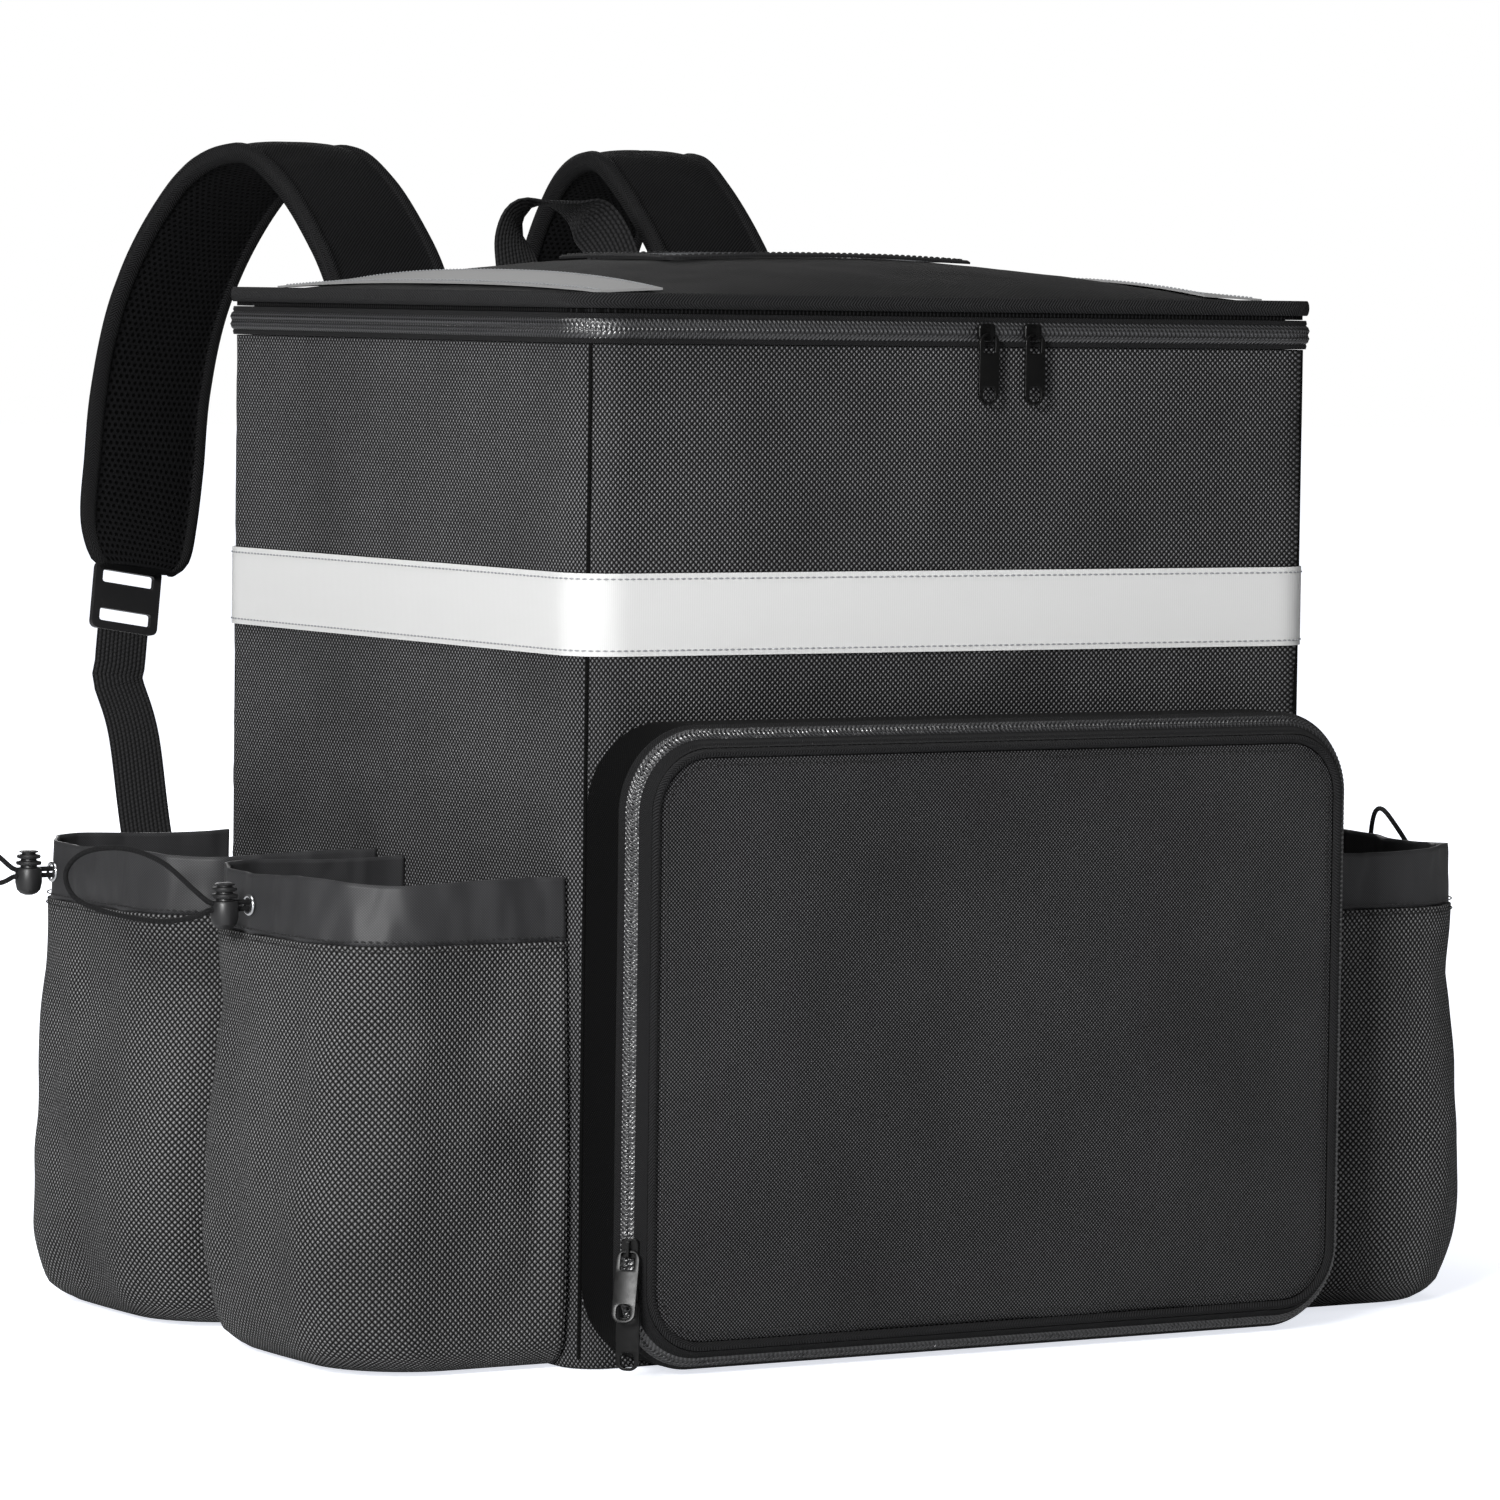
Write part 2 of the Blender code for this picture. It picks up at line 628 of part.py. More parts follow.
def build_collar(name, side, middle, crest):
    """The drawstring collar above a pocket's seam, gathered in even folds from the eyelet."""
    base = CUP_POCKET_BASE + CUP_POCKET_HEIGHT + GAP
    sections = (
        (COLLAR_BASE_SHARES, 0.0, base, 0.35),
        (COLLAR_TOP_SHARES, 0.0, base + COLLAR_HEIGHT, 1.0),
        (COLLAR_TOP_SHARES, COLLAR_WALL, base + COLLAR_HEIGHT, 1.0),
        (COLLAR_BASE_SHARES, COLLAR_WALL, base, 0.35),
    )
    rows = []
    for (reach_share, length_share), inset, height, depth_share in sections:
        points = cup_outline(reach_share, length_share, inset, COLLAR_OUTLINE_STEPS)
        row = []
        for step, (out, along) in enumerate(points):
            wave = cos(2 * pi * COLLAR_GATHERS * (step - crest) / COLLAR_OUTLINE_STEPS)
            pull = COLLAR_GATHER_DEPTH * depth_share * 0.5 * (1 - wave)
            away = Vector((out, along)).normalized()
            out = max(0.0, out - pull * away.x) if out else 0.0
            row.append((side * (SIDE_WALL + GAP + out), middle + along - pull * away.y, height))
        rows.append(row)
    add_object(name, mesh_from(name, rows, True, False), SMOOTH_NYLON)


# A drawstring's route from its eyelet, through its lock, round a free loop and back:
# outwards from the pocket, towards the back of the bag, and up
CORD_ROUTE = (
    (0.0004, 0.0000, 0.00155),
    (0.0070, 0.0000, 0.00155),
    (0.0130, 0.0000, 0.00155),
    (0.0205, 0.0000, 0.00170),
    (0.0250, 0.0070, 0.00700),
    (0.0310, 0.0300, 0.01900),
    (0.0400, 0.0520, 0.02400),
    (0.0500, 0.0720, 0.02100),
    (0.0550, 0.0820, 0.01100),
    (0.0520, 0.0780, -0.00100),
    (0.0430, 0.0580, -0.00700),
    (0.0310, 0.0310, -0.00900),
    (0.0240, 0.0090, -0.00550),
    (0.0205, 0.0000, -0.00170),
    (0.0130, 0.0000, -0.00155),
    (0.0070, 0.0000, -0.00155),
    (0.0004, 0.0000, -0.00155),
)

# Turned outline of a cord lock: height and radius as shares of its length and its radius
LOCK_PROFILE = (
    (-0.50, 0.30),
    (-0.46, 0.62),
    (-0.38, 0.88),
    (-0.22, 1.00),
    (0.10, 1.00),
    (0.20, 0.90),
    (0.23, 0.66),
    (0.28, 0.66),
    (0.31, 0.82),
    (0.45, 0.82),
    (0.50, 0.60),
)


def build_cord_lock(name, centre):
    """A barrel lock with a knob on top and one oval hole for both strands."""
    sides = 14
    rows = []
    for height_share, radius_share in LOCK_PROFILE:
        radius = LOCK_RADIUS * radius_share
        height = LOCK_LENGTH * height_share
        rows.append(
            [
                (radius * cos(2 * pi * step / sides), radius * sin(2 * pi * step / sides), height)
                for step in range(sides)
            ]
        )
    lock = add_object(name, mesh_from(name, rows, False, True), HARD_PLASTIC)
    lock.location = centre
    width = CORD_DIAMETER + 2 * LOCK_HOLE_CLEARANCE
    height = CORD_PITCH + CORD_DIAMETER + 2 * LOCK_HOLE_CLEARANCE
    outline = loop_outline(width, height, 0.45 * width, 3)
    rows = [[(reach, along, up) for along, up in outline] for reach in (-2 * LOCK_RADIUS, 2 * LOCK_RADIUS)]
    cutter = bpy.data.objects.new(f"{name}_hole", mesh_from(f"{name}_hole", rows, False, True))
    bpy.context.scene.collection.objects.link(cutter)
    cutter.location = centre
    cutter.hide_render = True
    cutter.display_type = "WIRE"
    cut = lock.modifiers.new("hole", "BOOLEAN")
    cut.operation = "DIFFERENCE"
    cut.solver = "EXACT"
    cut.object = cutter


def build_drawstring(place, side, middle, crest):
    """Eyelet, elastic cord and lock on a pocket's collar."""
    level = EYELET_HEIGHT_SHARE - EYELET_RADIUS / COLLAR_HEIGHT
    shares = [base + (top - base) * level for base, top in zip(COLLAR_BASE_SHARES, COLLAR_TOP_SHARES)]
    out, along = cup_outline(*shares, 0.0, COLLAR_OUTLINE_STEPS)[crest]
    height = CUP_POCKET_BASE + CUP_POCKET_HEIGHT + GAP + COLLAR_HEIGHT * EYELET_HEIGHT_SHARE
    start = Vector((side * (SIDE_WALL + 2 * GAP + out), middle + along, height))
    sides = 16
    rows = []
    for radius, depth in (
        (EYELET_HOLE_RADIUS, 0.0),
        (EYELET_RADIUS, 0.0),
        (EYELET_RADIUS - 0.3 * EYELET_THICKNESS, EYELET_THICKNESS),
        (EYELET_HOLE_RADIUS, EYELET_THICKNESS),
    ):
        rows.append(
            [
                start
                + Vector(
                    (side * depth, radius * cos(2 * pi * step / sides), radius * sin(2 * pi * step / sides))
                )
                for step in range(sides)
            ]
        )
    name = f"eyelet_{place}"
    add_object(name, mesh_from(name, rows, True, True), NICKEL)

    name = f"drawcord_{place}"
    route = [start + Vector((side * reach, back, up)) for reach, back, up in CORD_ROUTE]
    points = smooth_points(route, CORD_POINT_SPACING)
    curve = bpy.data.curves.new(name, "CURVE")
    curve.dimensions = "3D"
    curve.bevel_depth = CORD_DIAMETER / 2
    curve.bevel_resolution = 2
    curve.use_fill_caps = True
    spline = curve.splines.new("POLY")
    spline.points.add(len(points) - 1)
    for knot, point in zip(spline.points, points):
        knot.co = (*point, 1.0)
    add_object(name, curve, ELASTIC)
    build_cord_lock(f"cord_lock_{place}", start + Vector((side * LOCK_REACH, 0.0, 0.0)))


# Where each side's pockets lie, and the outline step that carries the eyelet
CUP_POCKETS = (("front", -0.5, 28), ("rear", 0.5, 32))


def build_cup_pockets():
    """Two cup pockets on each side, with their collars and drawstrings."""
    for side_name, side in (("left", -1), ("right", 1)):
        for row_name, row_share, crest in CUP_POCKETS:
            place = f"{side_name}_{row_name}"
            middle = CUP_POCKET_SPACING * row_share
            name = f"cup_pocket_{place}"
            add_object(name, cup_mesh(name, side, middle), OXFORD_CLOTH)
            build_collar(f"pocket_collar_{place}", side, middle, crest)
            build_drawstring(place, side, middle, crest)


# Shoulder strap from its root to its tip. Shares of the named sizes:
# reach behind the box, height in the arch, splay, width and thickness
STRAP_SECTIONS = (
    (0.000, 0.400, 0.00, 0.94, 0.35),
    (0.004, 0.500, 0.00, 1.00, 0.55),
    (0.024, 0.596, 0.00, 1.00, 0.85),
    (0.070, 0.690, 0.00, 1.00, 1.00),
    (0.145, 0.790, 0.02, 1.00, 1.00),
    (0.300, 0.925, 0.05, 1.00, 1.00),
    (0.460, 1.000, 0.14, 1.00, 1.00),
    (0.650, 0.957, 0.29, 1.00, 1.00),
    (0.815, 0.813, 0.43, 1.00, 1.00),
    (0.930, 0.632, 0.55, 1.00, 1.00),
    (0.990, 0.429, 0.62, 1.00, 1.00),
    (1.000, 0.248, 0.68, 1.00, 1.00),
    (0.985, 0.113, 0.80, 0.96, 0.95),
    (0.955, 0.030, 0.90, 0.82, 0.80),
    (0.945, 0.000, 0.93, 0.62, 0.60),
)

# Lower webbing from its buckle to the bottom corner of the back. Shares of the strap's reach,
# of the buckle's height above the anchor, and of the way across to the anchor
WEBBING_SECTIONS = (
    (0.930, 0.800, 0.06),
    (0.820, 0.570, 0.20),
    (0.600, 0.280, 0.42),
    (0.310, 0.080, 0.70),
    (0.060, 0.006, 0.96),
    (0.006, -0.012, 1.00),
    (0.000, -0.050, 1.00),
    (0.000, -0.080, 1.00),
)


def flat_plate(name, loops, base, thickness, placing, look):
    """A flat plate from closed outlines, the first its edge and the rest its holes."""
    shape = bmesh.new()
    edges = []
    for loop in loops:
        corners = [shape.verts.new((x, y, base)) for x, y in loop]
        for index, corner in enumerate(corners):
            edges.append(shape.edges.new((corner, corners[(index + 1) % len(corners)])))
    bmesh.ops.triangle_fill(shape, use_beauty=True, edges=edges)
    raised = bmesh.ops.extrude_face_region(shape, geom=shape.faces[:])
    top = [item for item in raised["geom"] if isinstance(item, bmesh.types.BMVert)]
    bmesh.ops.translate(shape, verts=top, vec=(0.0, 0.0, thickness))
    bmesh.ops.recalc_face_normals(shape, faces=shape.faces)
    mesh = bpy.data.meshes.new(name)
    shape.to_mesh(mesh)
    shape.free()
    obj = add_object(name, mesh, look)
    obj.matrix_world = placing
    return obj


def shifted(outline, x, y):
    """An outline moved in its own plane."""
    return [(point_x + x, point_y + y) for point_x, point_y in outline]


def build_straps():
    """Padded shoulder straps, their ladder locks and the webbing down to the bottom corners."""
    for name, side in (("left", -1), ("right", 1)):
        points = []
        widths = []
        thicknesses = []
        for reach, height, splay, width, thickness in STRAP_SECTIONS:
            depth = STRAP_THICKNESS * thickness
            points.append(
                Vector(
                    (
                        side * (STRAP_ROOT_OFFSET + STRAP_SPLAY * splay),
                        BACK_WALL + GAP + depth / 2 + STRAP_REACH * reach,
                        STRAP_TIP_HEIGHT + STRAP_ARCH_HEIGHT * height,
                    )
                )
            )
            widths.append(STRAP_WIDTH * width)
            thicknesses.append(depth)
        across = [Vector((1.0, 0.0, 0.0))] * len(points)
        ribbon(f"shoulder_strap_{name}", points, across, widths, thicknesses, TWILL_CLOTH, True)

        sewn = []
        for index in (-5, -4, -3):
            along = (points[index + 1] - points[index - 1]).normalized()
            outward = Vector((0.0, -along.z, along.y)).normalized()
            stand = (thicknesses[index] + WEBBING_THICKNESS) / 2 + 2 * GAP
            sewn.append(points[index] + outward * stand)
        buckle_top = sewn[-1] + (sewn[-1] - sewn[-2]).normalized() * 0.6 * BUCKLE_LENGTH
        sewn.append(buckle_top)
        plain = [Vector((1.0, 0.0, 0.0))] * len(sewn)
        ribbon(
            f"strap_tab_{name}",
            sewn,
            plain,
            [WEBBING_WIDTH] * len(sewn),
            [WEBBING_THICKNESS] * len(sewn),
            WEBBING,
        )

        down = (sewn[-1] - sewn[-2]).normalized()
        across_buckle = (Vector((1.0, 0.0, 0.0)) - down * down.x).normalized()
        out_of_buckle = across_buckle.cross(-down)
        bar = BUCKLE_BAR
        top_slot = BUCKLE_LENGTH / 2 - bar - BUCKLE_SLOT / 2
        slot = loop_outline(WEBBING_WIDTH + 2 * GAP, BUCKLE_SLOT, 0.2 * BUCKLE_SLOT, 2)
        loops = [
            loop_outline(BUCKLE_WIDTH, BUCKLE_LENGTH, 0.8 * bar, 3),
            shifted(slot, 0.0, top_slot),
            shifted(slot, 0.0, -top_slot),
        ]
        centre = buckle_top + down * (GAP + BUCKLE_LENGTH / 2)
        placing = Matrix((across_buckle, -down, out_of_buckle)).transposed().to_4x4()
        placing.translation = centre
        base = -BUCKLE_THICKNESS / 2
        flat_plate(f"ladder_lock_{name}", loops, base, BUCKLE_THICKNESS, placing, HARD_PLASTIC)

        start = centre + down * (BUCKLE_LENGTH / 2 + GAP)
        anchor_x = side * ANCHOR_OFFSET
        flat_on_back = BACK_WALL + GAP + WEBBING_THICKNESS / 2
        route = [start + down * WEBBING_WIDTH * share for share in (0.0, 0.3, 0.6, 0.9)]
        for reach, height, way in WEBBING_SECTIONS:
            route.append(
                Vector(
                    (
                        start.x + (anchor_x - start.x) * way,
                        flat_on_back + (start.y - flat_on_back) * reach,
                        ANCHOR_HEIGHT + (start.z - ANCHOR_HEIGHT) * height,
                    )
                )
            )
        points = smooth_points(route, WEBBING_WIDTH * 0.4)
        plain = [Vector((1.0, 0.0, 0.0))] * len(points)
        ribbon(
            f"lower_webbing_{name}",
            points,
            plain,
            [WEBBING_WIDTH] * len(points),
            [WEBBING_THICKNESS] * len(points),
            WEBBING,
        )


def build_handle():
    """The webbing handle: two flat feet on the back, crossing over in a half twist above the lid."""
    flat_on_back = BACK_WALL + GAP + WEBBING_THICKNESS / 2
    proud = flat_on_back + WELT_PROUD + WEBBING_THICKNESS
    half = HANDLE_SPAN / 2
    rise = HANDLE_TOP - LID_EDGE_HEIGHT
    leg = (
        (half, flat_on_back, HANDLE_FOOT, 0.0),
        (half, flat_on_back, ZIPPER_BASE - 2 * WEBBING_THICKNESS, 0.0),
        (half, proud, ZIPPER_MIDDLE, 0.0),
        (half, proud + 0.2 * HANDLE_LEAN, LID_EDGE_HEIGHT + 0.20 * rise, 6.0),
        (0.92 * half, proud + 0.55 * HANDLE_LEAN, LID_EDGE_HEIGHT + 0.58 * rise, 24.0),
        (0.62 * half, proud + 0.88 * HANDLE_LEAN, LID_EDGE_HEIGHT + 0.88 * rise, 56.0),
        (0.0, proud + HANDLE_LEAN, HANDLE_TOP, 90.0),
    )
    points = [Vector((-x, y, z)) for x, y, z, turn in leg]
    points += [Vector((x, y, z)) for x, y, z, turn in reversed(leg[:-1])]
    turns = [turn for x, y, z, turn in leg]
    turns += [180.0 - turn for turn in reversed(turns[:-1])]
    across = [Vector((cos(radians(turn)), sin(radians(turn)), 0.0)) for turn in turns]
    ribbon(
        "grab_handle",
        points,
        across,
        [HANDLE_WIDTH] * len(points),
        [WEBBING_THICKNESS] * len(points),
        WEBBING,
    )


def build_slider(name, frame, across):
    """A zip slider: a plate on the coil, its length along or across the wire bridge on it."""
    half = BRIDGE_HALF
    length, width = (SLIDER_WIDTH, SLIDER_LENGTH) if across else (SLIDER_LENGTH, SLIDER_WIDTH)
    rows = []
    for level, inset in ((0.0, 0.0), (0.85 * SLIDER_PLATE, 0.0), (SLIDER_PLATE, 0.15 * SLIDER_PLATE)):
        outline = loop_outline(length - 2 * inset, width - 2 * inset, 0.25 * SLIDER_WIDTH, 3)
        rows.append([(x, y, level) for x, y in outline])
    slider = add_object(name, mesh_from(name, rows, False, True), BLACK_METAL)
    slider.matrix_world = frame
    foot = SLIDER_PLATE - 0.3 * BRIDGE_WIRE
    top = BRIDGE_HEIGHT
    wire = BRIDGE_WIRE
    inner = half - wire
    profile = (
        (-half, foot), (-half, top - 0.5 * wire), (-half + 0.5 * wire, top), (half - 0.5 * wire, top),
        (half, top - 0.5 * wire), (half, foot), (inner, foot), (inner, top - wire),
        (-inner, top - wire), (-inner, foot),
    )
    rows = [[(x, y, z) for x, z in profile] for y in (-wire / 2, wire / 2)]
    bridge = bpy.data.objects.new(f"{name}_bridge", mesh_from(f"{name}_bridge", rows, False, True))
    bpy.context.scene.collection.objects.link(bridge)
    bridge.matrix_world = frame
    bridge.hide_render = True
    bridge.display_type = "WIRE"
    join = slider.modifiers.new("bridge", "BOOLEAN")
    join.operation = "UNION"
    join.solver = "EXACT"
    join.object = bridge


def tab_loops(top):
    """Outlines of a pull tab hanging down from y = top: its edge, its window and its slot."""
    window_width = TAB_WIDTH - 2 * TAB_SIDE_RAIL
    edge = shifted(loop_outline(TAB_WIDTH, TAB_LENGTH, 0.42 * TAB_WIDTH, 5), 0.0, top - TAB_LENGTH / 2)
    window_top = top - TAB_RAIL
    window = shifted(
        loop_outline(window_width, TAB_WINDOW_LENGTH, 0.12 * window_width, 2),
        0.0,
        window_top - TAB_WINDOW_LENGTH / 2,
    )
    slot_base = top - TAB_LENGTH + TAB_RAIL
    slot = shifted(
        loop_outline(window_width, TAB_SLOT_LENGTH, 0.35 * window_width, 4),
        0.0,
        slot_base + TAB_SLOT_LENGTH / 2,
    )
    return [edge, window, slot]


def frame_of(along, across, out, origin):
    """A placing whose X, Y and Z run along the three directions."""
    placing = Matrix((along, across, out)).transposed().to_4x4()
    placing.translation = origin
    return placing


def build_pull(place, origin, plate_across, tab_up, out, lean):
    """A slider seated at origin with its bridge along tab_up, and the tab that hangs from the bridge."""
    build_slider(f"{place}", frame_of(tab_up, out.cross(tab_up), out, origin), plate_across)
    rail_drop = BRIDGE_HALF - BRIDGE_WIRE - TAB_RUNNING_GAP - TAB_RAIL / sqrt(2)
    pivot = origin + out * (SLIDER_PLATE + BRIDGE_SPACE / 2) - tab_up * rail_drop
    frame = frame_of(tab_up.cross(out), tab_up, out, pivot) @ Matrix.Rotation(-lean, 4, "X")
    loops = tab_loops(TAB_RAIL / 2)
    name = place.replace("slider", "tab")
    flat_plate(name, loops, -TAB_THICKNESS / 2, TAB_THICKNESS, frame, BLACK_METAL)


def build_sliders():
    """Two sliders that meet on the lid's zipper and two on the front pocket's, each with its tab."""
    right = Vector((1.0, 0.0, 0.0))
    up = Vector((0.0, 0.0, 1.0))
    front = Vector((0.0, -1.0, 0.0))
    seat = Vector((0.0, FRONT_WALL - COIL_PROUD - GAP, ZIPPER_MIDDLE))
    for name, place in MAIN_SLIDER_PLACES:
        build_pull(f"main_slider_{name}", seat + right * place, True, up, front, 0.0)

    out = Vector((-1.0, -1.0, 0.0)).normalized()
    coil_in = FRONT_CORNER_TURN * sum(COIL_FACE_SHARES) / 2
    coil_deep = FRONT_GUSSET_DEPTH + coil_in + 0.12 * FRONT_CORNER_TURN
    surface = Vector((-FRONT_POCKET_WIDTH / 2 + coil_in, FRONT_WALL - coil_deep, 0.0))
    surface += out * (FRONT_COIL_PROUD + GAP)
    for name, height in FRONT_SLIDER_PLACES:
        lean = UPPER_TAB_LEAN if name == "upper" else 0.0
        build_pull(f"pocket_slider_{name}", surface + up * height, False, up, out, lean)


def main():
    """Clears the scene and builds the bag."""
    for obj in list(bpy.data.objects):
        bpy.data.objects.remove(obj)
    build_shell()
    build_lid()
    build_zipper()
    build_tapes()
    build_window()
    build_front_pocket()
    build_cup_pockets()
    build_straps()
    build_handle()
    build_sliders()


main()
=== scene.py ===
"""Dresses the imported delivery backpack: cloth, zips, webbing, cords and the studio it stands in.

Metres, +Z up. The bag's front faces -Y, and the origin is the centre of its base.
"""

from __future__ import annotations

import json
import logging
import math
from dataclasses import dataclass
from enum import Enum
from typing import Callable, Sequence

import bmesh
import bpy
from mathutils import Matrix, Vector, noise

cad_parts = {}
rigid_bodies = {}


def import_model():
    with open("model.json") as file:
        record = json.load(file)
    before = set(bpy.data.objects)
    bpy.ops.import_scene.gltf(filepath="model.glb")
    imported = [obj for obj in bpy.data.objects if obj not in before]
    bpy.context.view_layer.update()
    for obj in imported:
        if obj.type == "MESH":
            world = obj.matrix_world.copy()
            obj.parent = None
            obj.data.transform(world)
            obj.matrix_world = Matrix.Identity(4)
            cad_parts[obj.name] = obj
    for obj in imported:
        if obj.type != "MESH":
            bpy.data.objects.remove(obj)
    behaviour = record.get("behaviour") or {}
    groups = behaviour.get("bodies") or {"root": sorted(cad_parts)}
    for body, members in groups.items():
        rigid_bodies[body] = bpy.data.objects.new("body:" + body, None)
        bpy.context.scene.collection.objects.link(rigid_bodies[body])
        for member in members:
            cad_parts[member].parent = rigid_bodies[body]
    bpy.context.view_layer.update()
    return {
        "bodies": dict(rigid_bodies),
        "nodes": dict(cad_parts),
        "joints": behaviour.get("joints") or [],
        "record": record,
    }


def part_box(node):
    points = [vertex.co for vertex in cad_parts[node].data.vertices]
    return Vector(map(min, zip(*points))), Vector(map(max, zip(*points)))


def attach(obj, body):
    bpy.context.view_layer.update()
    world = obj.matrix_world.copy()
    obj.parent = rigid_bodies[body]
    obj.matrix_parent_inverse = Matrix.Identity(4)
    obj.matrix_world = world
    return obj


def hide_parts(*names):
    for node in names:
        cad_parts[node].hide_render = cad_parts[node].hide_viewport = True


LOG = logging.getLogger("backpack")
BAG = "bag"
# Gap between two pieces that touch, and faces round a turned piece
GAP = 0.0003
ROUND_STEPS = 40
Place = Callable[[float, float], Vector]
Point = Sequence[float]
FRAME: dict[str, dict] = {}


@dataclass(frozen=True)
class BoxSizes:
    """The main box, with its lid."""

    width: float = 0.416
    depth: float = 0.366
    corner: float = 0.022
    wall: float = 0.006
    lid_edge: float = 0.500
    zip_top: float = 0.4925
    zip_base: float = 0.4785
    dome: float = 0.021
    dome_power: float = 2.4

    @property
    def front(self) -> float:
        """Y of the front wall."""
        return -self.depth / 2

    @property
    def back(self) -> float:
        """Y of the back wall."""
        return self.depth / 2

    @property
    def side(self) -> float:
        """X of the right wall."""
        return self.width / 2

    def lid_height(self, x: float, y: float) -> float:
        """Height of the domed lid at a point.

        Args:
            x: Place across the lid.
            y: Place along the lid.

        Returns:
            The height above the floor.
        """
        across = min(1.0, abs(x) / self.side) ** self.dome_power
        along = min(1.0, abs(y) / self.back) ** self.dome_power
        return self.lid_edge + self.dome * (1 - across) * (1 - along)


BOX = BoxSizes()


@dataclass(frozen=True)
class RoundedRectangle:
    """A closed outline in the plane, followed counter-clockwise from the middle of its far side."""

    width: float
    depth: float
    corner: float

    @property
    def length(self) -> float:
        """The whole way round."""
        straight = 2 * (self.width + self.depth) - 8 * self.corner
        return straight + 2 * math.pi * self.corner

    def grown(self, offset: float) -> RoundedRectangle:
        """The same outline moved outwards by the offset."""
        corner = max(0.0005, self.corner + offset)
        return RoundedRectangle(self.width + 2 * offset, self.depth + 2 * offset, corner)

    def at(self, share: float) -> tuple[float, float, float, float]:
        """A point of the outline and the direction that faces out there.

        Args:
            share: Way round, from 0 to 1.

        Returns:
            The point's two coordinates and the outward direction's two.
        """
        half_width = self.width / 2 - self.corner
        half_depth = self.depth / 2 - self.corner
        arc = math.pi / 2 * self.corner
        around = (arc, 2 * half_depth, arc, 2 * half_width, arc, 2 * half_depth, arc)
        runs = (half_width, *around, half_width)
        way = (share % 1.0) * self.length
        if share >= 1.0:
            way = self.length
        step = 0
        while step < 8 and way > runs[step]:
            way -= runs[step]
            step += 1
        if step in (1, 3, 5, 7):
            corner = (step - 1) // 2
            turn = math.pi / 2 * (corner + 1) + way / self.corner
            centre = ((-1, 1), (-1, -1), (1, -1), (1, 1))[corner]
            out = (math.cos(turn), math.sin(turn))
            x = centre[0] * half_width + self.corner * out[0]
            y = centre[1] * half_depth + self.corner * out[1]
            return x, y, out[0], out[1]
        if step in (0, 8):
            start = 0.0 if step == 0 else half_width
            return start - way, self.depth / 2, 0.0, 1.0
        if step == 2:
            return -self.width / 2, half_depth - way, -1.0, 0.0
        if step == 4:
            return -half_width + way, -self.depth / 2, 0.0, -1.0
        return self.width / 2, -half_depth + way, 1.0, 0.0


BODY_OUTLINE = RoundedRectangle(BOX.width, BOX.depth, BOX.corner)


def smooth_route(route: Sequence[Point], spacing: float, parts: int = 24) -> list[Vector]:
    """Points a fixed way apart on a smooth curve through a route.

    Args:
        route: The points that the curve passes through, of any number of coordinates.
        spacing: Distance between the points that come back, in the first three coordinates.
        parts: Steps that each span is first cut into.

    Returns:
        The points, the first and last of the route among them.
    """
    knots = [Vector(point) for point in route]
    ends = [2 * knots[0] - knots[1]] + knots + [2 * knots[-1] - knots[-2]]
    fine: list[Vector] = []
    for before, start, end, after in zip(ends, ends[1:], ends[2:], ends[3:]):
        for part in range(parts):
            share = part / parts
            bend = 2 * before - 5 * start + 4 * end - after
            twist = 3 * start - before - 3 * end + after
            rise = (end - before) * share
            fine.append(0.5 * (2 * start + rise + bend * share**2 + twist * share**3))
    fine.append(knots[-1])
    lengths = [0.0]
    for near, far in zip(fine, fine[1:]):
        lengths.append(lengths[-1] + (Vector(far[:3]) - Vector(near[:3])).length)
    count = max(2, round(lengths[-1] / spacing))
    points = []
    index = 0
    for step in range(count + 1):
        target = lengths[-1] * step / count
        while index < len(fine) - 2 and lengths[index + 1] < target:
            index += 1
        span = lengths[index + 1] - lengths[index]
        share = (target - lengths[index]) / span if span else 0.0
        points.append(fine[index].lerp(fine[index + 1], share))
    return points


def linear(colour: str) -> tuple[float, float, float, float]:
    """Turns an sRGB hex colour to linear light.

    Args:
        colour: Six hex digits after a hash.

    Returns:
        Red, green, blue and an alpha of 1.
    """
    values = []
    for place in (1, 3, 5):
        share = int(colour[place : place + 2], 16) / 255
        values.append(share / 12.92 if share <= 0.04045 else ((share + 0.055) / 1.055) ** 2.4)
    return values[0], values[1], values[2], 1.0


def add_node(
    tree: bpy.types.NodeTree,
    kind: str,
    inputs: dict[int | str, object] | None = None,
    **settings: object,
) -> bpy.types.Node:
    """Adds a node to a tree, with its settings and links.

    Args:
        tree: The material's node tree.
        kind: The node's type name.
        inputs: Sockets, signals or plain values, by the input's name or place.
        **settings: The node's own properties.

    Returns:
        The new node.
    """
    node = tree.nodes.new(kind)
    for name, value in settings.items():
        setattr(node, name, value)
    for key, value in (inputs or {}).items():
        if isinstance(value, Signal):
            tree.links.new(value.socket, node.inputs[key])
        elif isinstance(value, bpy.types.NodeSocket):
            tree.links.new(value, node.inputs[key])
        else:
            node.inputs[key].default_value = value
    return node


@dataclass(frozen=True)
class Signal:
    """A value in a node tree, with the arithmetic that weaves and stitches are drawn with."""

    tree: bpy.types.NodeTree
    socket: bpy.types.NodeSocket

    def then(self, operation: str, other: Signal | float = 0.0) -> Signal:
        """Passes the value through one arithmetic step.

        Args:
            operation: The name of the step.
            other: Its second value, where it takes one.

        Returns:
            The result.
        """
        node = add_node(self.tree, "ShaderNodeMath", {0: self, 1: other}, operation=operation)
        return Signal(self.tree, node.outputs[0])

    def wave(self) -> Signal:
        """Rounded ridges, one for each unit of the value, from 0 to 1."""
        return self.then("MULTIPLY", math.pi).then("SINE").then("ABSOLUTE")


